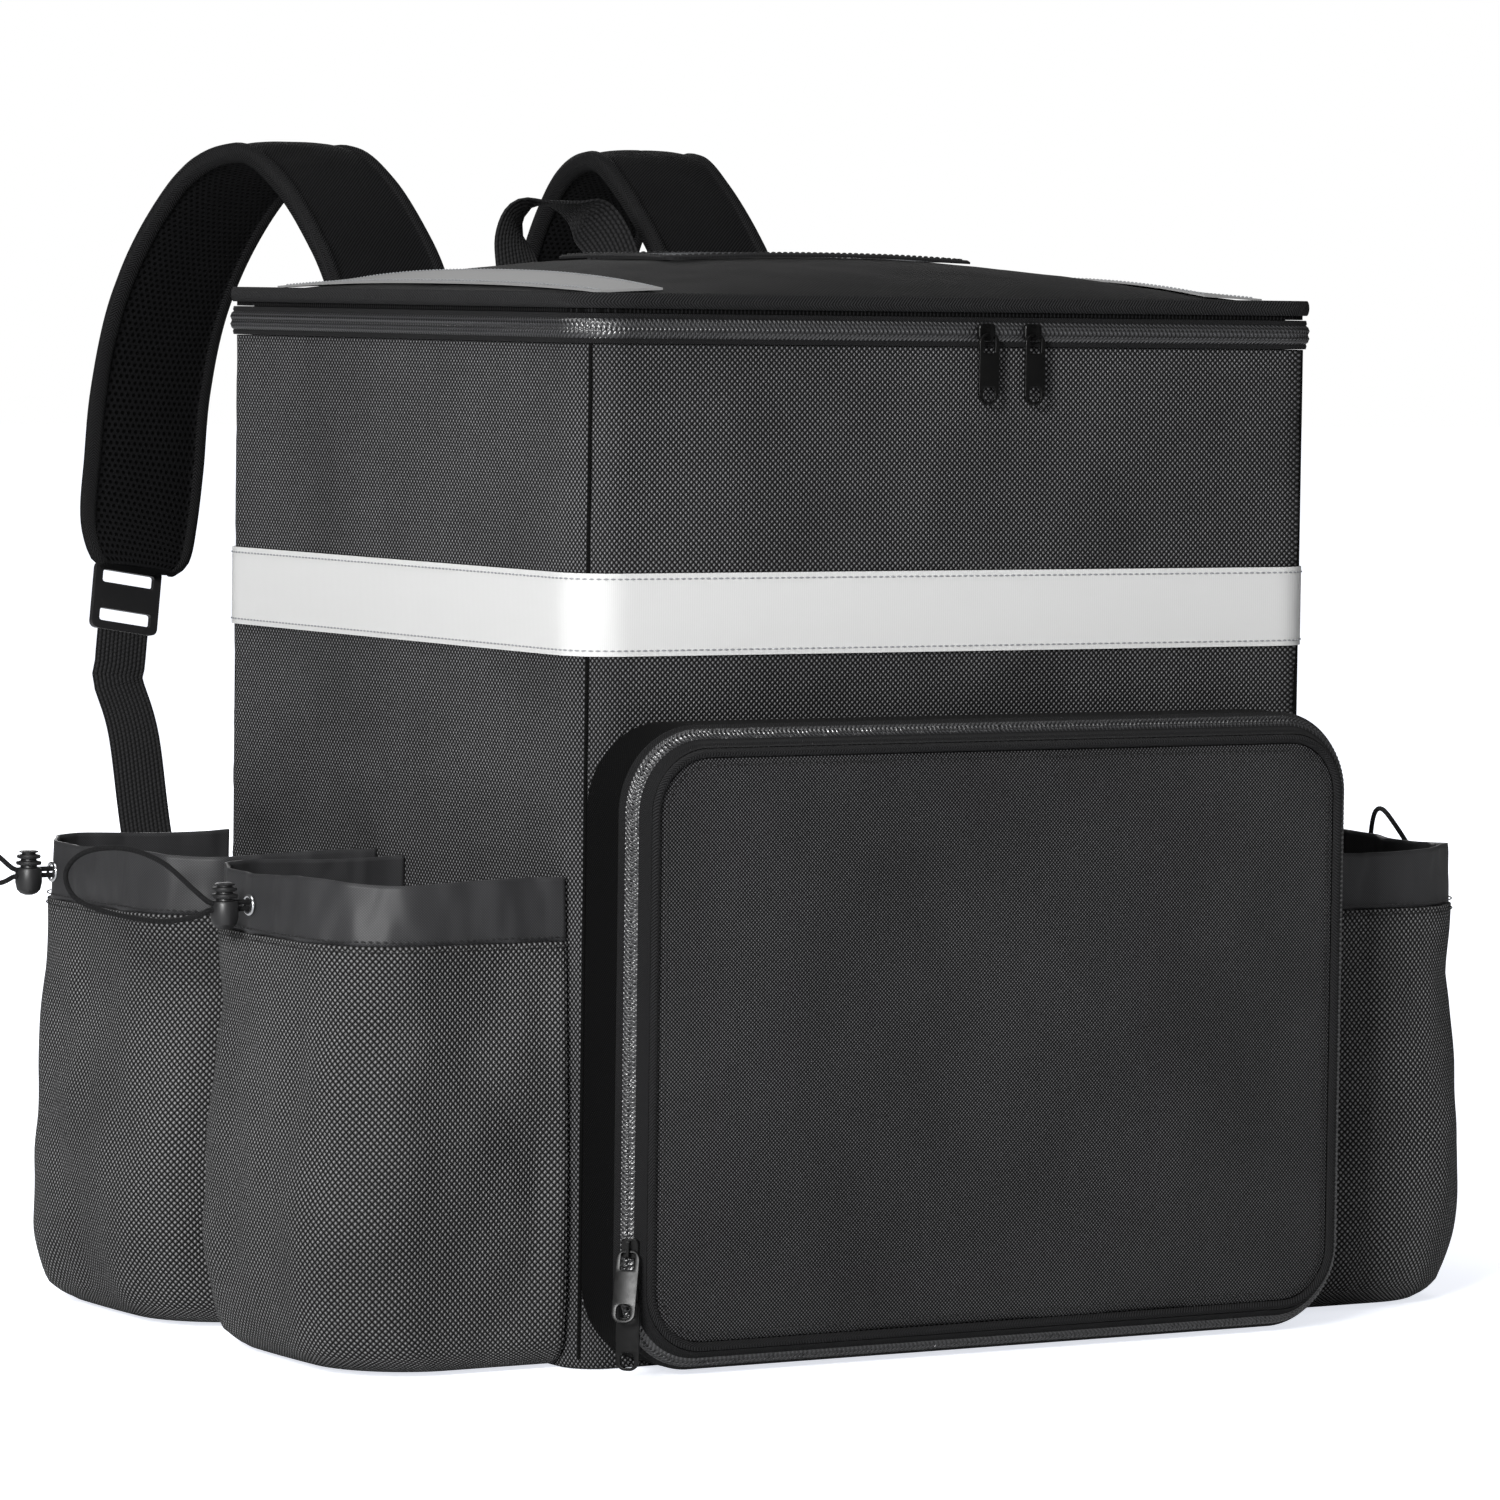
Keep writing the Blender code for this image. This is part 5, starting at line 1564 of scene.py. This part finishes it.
@dataclass(frozen=True)
class ShoulderStrap:
    """A padded shoulder strap, its ladder lock and the webbing down to the bag's bottom corner."""

    place: str
    side: int
    width: float = 0.070
    thickness: float = 0.0130
    webbing: float = 0.0300
    webbing_thickness: float = 0.0018
    lock_length: float = 0.036
    binding: float = 0.20
    top_x: float = 0.100
    splay: float = 0.042
    reach: float = 0.237
    foot: float = 0.350
    rise: float = 0.2215
    sewn_x: float = 0.163
    sewn_height: float = 0.045
    row_spacing: float = 0.0045
    webbing_spacing: float = 0.006
    crown_faces: int = 16

    # Shares of the strap's reach, height, splay, width and thickness, from its sewn end to its tip
    sections = (
        (0.0, 0.400, 0.0, 0.94, 0.35), (0.004, 0.500, 0.0, 1.0, 0.55), (0.024, 0.596, 0.0, 1.0, 0.85),
        (0.070, 0.690, 0.0, 1.0, 1.0), (0.145, 0.790, 0.02, 1.0, 1.0), (0.300, 0.925, 0.05, 1.0, 1.0),
        (0.460, 1.0, 0.14, 1.0, 1.0), (0.650, 0.957, 0.29, 1.0, 1.0), (0.815, 0.813, 0.43, 1.0, 1.0),
        (0.930, 0.632, 0.55, 1.0, 1.0), (0.990, 0.429, 0.62, 1.0, 1.0), (1.0, 0.248, 0.68, 1.0, 1.0),
        (0.985, 0.113, 0.80, 0.96, 0.95), (0.955, 0.030, 0.90, 0.82, 0.80), (0.945, 0.0, 0.93, 0.62, 0.60),
    )
    # Reach, height and way to the sewn end as shares, from the ladder lock down
    webbing_sections = (
        (0.930, 0.800, 0.06), (0.820, 0.570, 0.20), (0.600, 0.280, 0.42), (0.310, 0.080, 0.70),
        (0.060, 0.006, 0.96), (0.006, -0.012, 1.0), (0.0, -0.050, 1.0), (0.0, -0.080, 1.0),
    )

    def spine(self) -> list[tuple[Vector, float, float]]:
        """The strap's middle line.

        Returns:
            The point, width and thickness at each of the table's rows.
        """
        line = []
        for reach, height, splay, width, thickness in self.sections:
            depth = self.thickness * thickness
            point = Vector((
                self.side * (self.top_x + self.splay * splay),
                BOX.back + GAP + depth / 2 + self.reach * reach,
                self.foot + self.rise * height,
            ))
            line.append((point, self.width * width, depth))
        return line

    def build(self) -> None:
        """Makes the pad, the webbing tab on it and the webbing below it."""
        self.pad()
        self.tab()
        self.lower_webbing()

    def section(self) -> list[tuple[float, float, int]]:
        """The pad's section, once round.

        Returns:
            Half width, thickness and finish number at each corner.
        """
        rim = 1 - self.binding
        crown = []
        for step in range(self.crown_faces + 1):
            across = 2 * step / self.crown_faces - 1
            crown.append((rim * across, 0.5 - 0.20 * abs(across) ** 3))
        ridge = (
            (rim + 0.02, 0.38), (rim + 0.06, 0.42), (0.96, 0.36), (1.0, 0.16),
            (1.0, -0.16), (0.96, -0.36), (rim + 0.06, -0.42), (rim + 0.02, -0.38),
        )
        loop = [(wide, thick, 2) for wide, thick in crown]
        loop += [(wide, thick, 1) for wide, thick in ridge]
        loop += [(-wide, -thick, 0) for wide, thick in crown]
        loop += [(-wide, -thick, 1) for wide, thick in ridge]
        return loop + loop[:1]

    def pad(self) -> None:
        """Bends a grid round the pad's section and along its arch."""
        rows = [(*point, width, depth) for point, width, depth in self.spine()]
        spine = smooth_route(rows, self.row_spacing)
        middles = [Vector(row[:3]) for row in spine]
        last = len(spine) - 1
        section = self.section()
        steps = len(section) - 1
        slack = Wrinkles(0.0036, 0.045, (0.7, 1.0, 1.0), 21.0 + self.side)
        runs = [0.0]
        for near, far in zip(section, section[1:]):
            across = (far[0] - near[0]) * self.width / 2
            runs.append(runs[-1] + math.hypot(across, (far[1] - near[1]) * self.thickness))

        def place(u: float, v: float) -> Vector:
            """The surface\'s point at two shares of the grid."""
            index = min(last, round(v * last))
            wide, thick, _ = section[min(steps, round(u * steps))]
            along = (middles[min(last, index + 1)] - middles[max(0, index - 1)]).normalized()
            across = (Vector((1.0, 0.0, 0.0)) - along * along.x).normalized()
            face = along.cross(across)
            point = middles[index] + across * wide * spine[index][3] / 2
            soft = max(0.0, slack.at(point * (1.0 if thick > 0 else 1.7))) * (1 - abs(wide) ** 4)
            lift = thick * spine[index][4]
            lift -= math.copysign(min(soft, abs(lift) * 0.4), lift)
            return point + face * lift

        shape = mapped_grid(steps, last, place, (1.0, 1.0))
        layer = shape.loops.layers.uv.active
        length = sum((far - near).length for near, far in zip(middles, middles[1:]))
        for face in shape.faces:
            first = min(steps - 1, round(min(loop[layer].uv.x for loop in face.loops) * steps))
            face.material_index = 1 if first == self.crown_faces else section[first][2]
            for loop in face.loops:
                spot = min(steps, round(loop[layer].uv.x * steps))
                loop[layer].uv = (runs[spot], loop[layer].uv.y * length)
        close_up(shape)
        pad = put(f"strap_pad_{self.place}", shape, [TWILL, BINDING_ALONG, AIR_MESH], "twill_cloth",
                  stands_for=[f"shoulder_strap_{self.place}"], sharp=70.0)

    def tab_points(self) -> list[Vector]:
        """The middle line of the webbing tab from the pad's outer face to the ladder lock.

        Returns:
            The line's points.
        """
        spine = self.spine()
        sewn = []
        for index in (-5, -4, -3):
            along = (spine[index + 1][0] - spine[index - 1][0]).normalized()
            outward = Vector((0.0, -along.z, along.y)).normalized()
            proud = (spine[index][2] + self.webbing_thickness) / 2 + 2 * GAP
            sewn.append(spine[index][0] + outward * proud)
        sewn.append(sewn[-1] + (sewn[-1] - sewn[-2]).normalized() * 0.6 * self.lock_length)
        return sewn

    def tab(self) -> None:
        """Lays the webbing tab on the pad and dresses the ladder lock at its end."""
        self.webbing_strip(f"strap_tab_{self.place}", smooth_route(self.tab_points(), 0.004))
        dress_node(f"ladder_lock_{self.place}", ACETAL)

    def webbing_strip(self, node: str, points: Sequence[Vector]) -> None:
        """Makes a run of webbing that lies square across the bag.

        Args:
            node: The node that it stands for.
            points: Its middle line.
        """
        across = [Vector((1.0, 0.0, 0.0))] * len(points)
        Strip(f"{node}_webbing", points, across, self.webbing, self.webbing_thickness, WEBBING,
              stands_for=(node,)).build()

    def lower_webbing(self) -> None:
        """Runs the webbing from the ladder lock down to the bag's bottom corner."""
        sewn = self.tab_points()
        down = (sewn[-1] - sewn[-2]).normalized()
        start = sewn[-1] + down * (2 * GAP + self.lock_length)
        flat = BOX.back + GAP + self.webbing_thickness / 2
        route = [start + down * self.webbing * share for share in (0.0, 0.3, 0.6, 0.9)]
        for reach, height, way in self.webbing_sections:
            route.append(Vector((
                start.x + (self.side * self.sewn_x - start.x) * way,
                flat + (start.y - flat) * reach,
                self.sewn_height + (start.z - self.sewn_height) * height,
            )))
        self.webbing_strip(f"lower_webbing_{self.place}", smooth_route(route, self.webbing_spacing))


@dataclass(frozen=True)
class GrabHandle:
    """The webbing handle, a loop that leans over behind the lid."""

    width: float = 0.028
    thickness: float = 0.0018
    half: float = 0.030
    top: float = 0.548
    lean: float = 0.027
    sewn: tuple[float, float] = (0.445, 0.4749)
    over_hinge: float = 0.4855
    hinge_proud: float = 0.0028
    spacing: float = 0.003

    def build(self) -> None:
        """Bends the webbing up one leg, over and down the other."""
        flat = BOX.back + GAP + self.thickness / 2
        proud = flat + self.hinge_proud + self.thickness
        rise = self.top - BOX.lid_edge
        leg = (
            (self.half, flat, self.sewn[0], 0.0), (self.half, flat, self.sewn[1], 0.0),
            (self.half, proud, self.over_hinge, 0.0),
            (self.half, proud + 0.2 * self.lean, BOX.lid_edge + 0.20 * rise, 6.0),
            (0.92 * self.half, proud + 0.55 * self.lean, BOX.lid_edge + 0.58 * rise, 24.0),
            (0.62 * self.half, proud + 0.88 * self.lean, BOX.lid_edge + 0.88 * rise, 56.0),
            (0.0, proud + self.lean, self.top, 90.0),
        )
        route = [(-x, y, z, turn) for x, y, z, turn in leg]
        route += [(x, y, z, 180.0 - turn) for x, y, z, turn in reversed(leg[:-1])]
        fine = smooth_route(route, self.spacing)
        points = [Vector(knot[:3]) for knot in fine]
        turns = [math.radians(knot[3]) for knot in fine]
        across = [Vector((math.cos(turn), math.sin(turn), 0.0)) for turn in turns]
        Strip("grab_handle_webbing", points, across, self.width, self.thickness, WEBBING,
              stands_for=("grab_handle",)).build()


@dataclass(frozen=True)
class ZipPull:
    """A slider and the long pull tab that hangs from its bridge."""

    slider: str
    tab: str
    pivot: tuple[float, float, float]
    out: tuple[float, float, float]
    lean: float = 0.0
    length: float = 0.034
    width: float = 0.0112
    thickness: float = 0.0014
    rail: float = 0.0014
    side_rail: float = 0.0023
    bevel: float = 0.0003
    window: float = 0.0080
    hole: float = 0.0072

    def rounded(
        self, width: float, height: float, corner: float, base: float
    ) -> list[tuple[float, float]]:
        """A rounded outline.

        Args:
            width: Its width.
            height: Its height.
            corner: Radius of its corners.
            base: Height of its lowest point.

        Returns:
            The outline's points.
        """
        outline = RoundedRectangle(width, height, corner)
        points = []
        steps = 64
        for step in range(steps):
            x, y, _, _ = outline.at(step / steps)
            points.append((x, y + base + height / 2))
        return points

    def build(self) -> None:
        """Fills the tab's outline round its window and its hole, bevels it and hangs it up."""
        dress_node(self.slider, BLACK_ENAMEL)
        top = self.rail / 2
        inner = self.width - 2 * self.side_rail
        loops = (
            self.rounded(self.width, self.length, 0.42 * self.width, top - self.length),
            self.rounded(inner, self.window, 0.12 * inner, top - self.rail - self.window),
            self.rounded(inner, self.hole, 0.35 * inner, top - self.length + self.rail),
        )
        plate = bpy.data.curves.new(f"{self.tab}_outline", "CURVE")
        plate.dimensions = "2D"
        plate.fill_mode = "BOTH"
        plate.extrude = self.thickness / 2 - self.bevel
        plate.bevel_depth = self.bevel
        plate.bevel_resolution = 2
        plate.offset = -self.bevel
        for loop in loops:
            spline = plate.splines.new("POLY")
            spline.points.add(len(loop) - 1)
            spline.use_cyclic_u = True
            for knot, (x, y) in zip(spline.points, loop):
                knot.co = (x, y, 0.0, 1.0)
        holder = bpy.data.objects.new(plate.name, plate)
        bpy.context.scene.collection.objects.link(holder)
        bpy.context.view_layer.update()
        filled = holder.evaluated_get(bpy.context.evaluated_depsgraph_get())
        mesh = bpy.data.meshes.new_from_object(filled)
        shape = bmesh.new()
        shape.from_mesh(mesh)
        bpy.data.objects.remove(holder)
        bpy.data.meshes.remove(mesh)
        up, out = Vector((0.0, 0.0, 1.0)), Vector(self.out).normalized()
        across = up.cross(out)
        stand = Matrix((across, up, out)).transposed().to_4x4()
        turn = Matrix.Rotation(math.radians(self.lean), 4, -across)
        hung = Matrix.Translation(self.pivot) @ turn @ stand
        bmesh.ops.transform(shape, verts=shape.verts, matrix=hung)
        close_up(shape, caps=False)
        put(f"{self.tab}_plate", shape, [BLACK_ENAMEL], "black_metal", body=self.tab,
            stands_for=[self.tab], sharp=25.0)


# Slider, tab, pivot, the way that the tab faces and how far it leans out, in degrees
ZIP_PULLS = (
    ZipPull("main_slider_left", "main_tab_left", (0.0095, -0.190185, 0.48429), (0.0, -1.0, 0.0)),
    ZipPull("main_slider_right", "main_tab_right", (0.0357, -0.190185, 0.48429), (0.0, -1.0, 0.0)),
    ZipPull("pocket_slider_upper", "pocket_tab_upper", (-0.202425, -0.222805, 0.06129),
            (-1.0, -1.0, 0.0), 17.0),
    ZipPull("pocket_slider_lower", "pocket_tab_lower", (-0.202425, -0.222805, 0.03929),
            (-1.0, -1.0, 0.0)),
)


@dataclass(frozen=True)
class Studio:
    """A white floor, soft lights and the camera."""

    place: tuple[float, float, float] = (-1.9275, -3.1560, 0.5052)
    yaw: float = 31.35
    pitch: float = 3.56
    roll: float = 0.76
    lens: float = 178.4
    ambient: float = 0.13
    aim: tuple[float, float, float] = (0.0, 0.0, 0.28)
    sensor: float = 36.0
    view_end: float = 60.0
    floor_half: float = 20.0
    floor_clear: float = 0.0002
    # The floor's own glow for the camera: at its middle, more for each metre away, and at most
    glow: tuple[float, float, float] = (0.76, 0.12, 1.1)

    # Name, place, side in metres and power in watts
    lamps = (
        ("left softbox", (-2.8, -2.45, 1.35), 0.8, 150.0),
        ("front softbox", (-1.6, -3.8, 1.9), 1.0, 8.0),
        ("top softbox", (-0.9, -0.5, 2.7), 1.4, 26.0),
        ("back softbox", (1.2, 3.4, 1.6), 1.2, 30.0),
    )

    def camera(self) -> None:
        """Places the camera, a long lens about level with the lid's edge."""
        yaw, pitch, roll = (math.radians(angle) for angle in (self.yaw, self.pitch, self.roll))
        level_reach = math.cos(pitch)
        forward = Vector((math.sin(yaw) * level_reach, math.cos(yaw) * level_reach, -math.sin(pitch)))
        right = Vector((math.cos(yaw), -math.sin(yaw), 0.0))
        up = right.cross(forward)
        level = right * math.cos(roll) + up * math.sin(roll)
        upright = up * math.cos(roll) - right * math.sin(roll)
        data = bpy.data.cameras.new("camera")
        data.lens = self.lens
        data.sensor_width = self.sensor
        data.clip_end = self.view_end
        camera = bpy.data.objects.new("camera", data)
        turn = Matrix((level, upright, -forward)).transposed().to_4x4()
        camera.matrix_world = Matrix.Translation(self.place) @ turn
        bpy.context.scene.collection.objects.link(camera)
        bpy.context.scene.camera = camera

    def floor(self) -> None:
        """Lays a wide white floor."""
        shape = bmesh.new()
        bmesh.ops.create_grid(shape, x_segments=1, y_segments=1, size=self.floor_half)
        bmesh.ops.translate(shape, verts=shape.verts, vec=(0, 0, -self.floor_clear))
        mesh = bpy.data.meshes.new("floor")
        shape.to_mesh(mesh)
        shape.free()
        material = bpy.data.materials.new("white floor")
        material.use_nodes = True
        tree = material.node_tree
        shader = tree.nodes["Principled BSDF"]
        shader.inputs["Base Color"].default_value = linear("#f2f3f5")
        shader.inputs["Roughness"].default_value = 0.6
        shader.inputs["Specular IOR Level"].default_value = 0.0
        seen = add_node(tree, "ShaderNodeLightPath").outputs["Is Camera Ray"]
        place = add_node(tree, "ShaderNodeTexCoord").outputs["Object"]
        away = add_node(tree, "ShaderNodeVectorMath", {0: place}, operation="LENGTH").outputs["Value"]
        near, rise, most = self.glow
        brighter = Signal(tree, away).then("MULTIPLY", rise).then("ADD", near).then("MINIMUM", most)
        glow = brighter.then("MULTIPLY", Signal(tree, seen))
        tree.links.new(glow.socket, shader.inputs["Emission Strength"])
        shader.inputs["Emission Color"].default_value = linear("#f4f7ff")
        mesh.materials.append(material)
        floor = bpy.data.objects.new("floor", mesh)
        bpy.context.scene.collection.objects.link(floor)

    def lamp(self, name: str, place: Point, size: float, power: float) -> None:
        """Hangs a soft square light that faces the bag.

        Args:
            name: The light's name.
            place: Where it hangs.
            size: Side of the square, in metres.
            power: Its power in watts.
        """
        data = bpy.data.lights.new(name, "AREA")
        data.size = size
        data.energy = power
        light = bpy.data.objects.new(name, data)
        towards = Vector(self.aim) - Vector(place)
        turn = towards.to_track_quat("-Z", "Y").to_matrix().to_4x4()
        light.matrix_world = Matrix.Translation(place) @ turn
        bpy.context.scene.collection.objects.link(light)

    def lights(self) -> None:
        """Sets the white surroundings and hangs the lamps."""
        world = bpy.data.worlds.new("white surroundings")
        world.use_nodes = True
        sky = world.node_tree.nodes["Background"]
        sky.inputs["Color"].default_value = (1.0, 1.0, 1.0, 1.0)
        seen = add_node(world.node_tree, "ShaderNodeLightPath").outputs["Is Camera Ray"]
        strength = Signal(world.node_tree, seen).then("MULTIPLY", 1.0 - self.ambient)
        strength = strength.then("ADD", self.ambient)
        world.node_tree.links.new(strength.socket, sky.inputs["Strength"])
        bpy.context.scene.world = world
        bpy.context.scene.view_settings.view_transform = "Standard"
        for lamp in self.lamps:
            self.lamp(*lamp)

    def build(self) -> None:
        """Sets the whole studio up."""
        self.camera()
        self.floor()
        self.lights()


def main() -> None:
    """Dresses the bag and sets it in its studio."""
    logging.basicConfig(level=logging.INFO, format="%(name)s: %(message)s")
    FRAME.update(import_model())
    Studio().build()
    pockets = [
        CupPocket(f"{side_name}_{row_name}", side, middle, eyelet)
        for side_name, side in (("left", -1), ("right", 1))
        for row_name, middle, eyelet in (("front", -0.092, 0.0135), ("rear", 0.092, 0.040))
    ]
    for pocket in pockets:
        Drawstring(pocket).build()
    for pocket in pockets:
        pocket.build()
    for piece in (PaddedBox(), Lid(), MainZip(), FrontPocket(), GrabHandle()):
        piece.build()
    for place, side in (("left", -1), ("right", 1)):
        ShoulderStrap(place, side).build()
    for pull in ZIP_PULLS:
        pull.build()


if __name__ == "__main__":
    main()
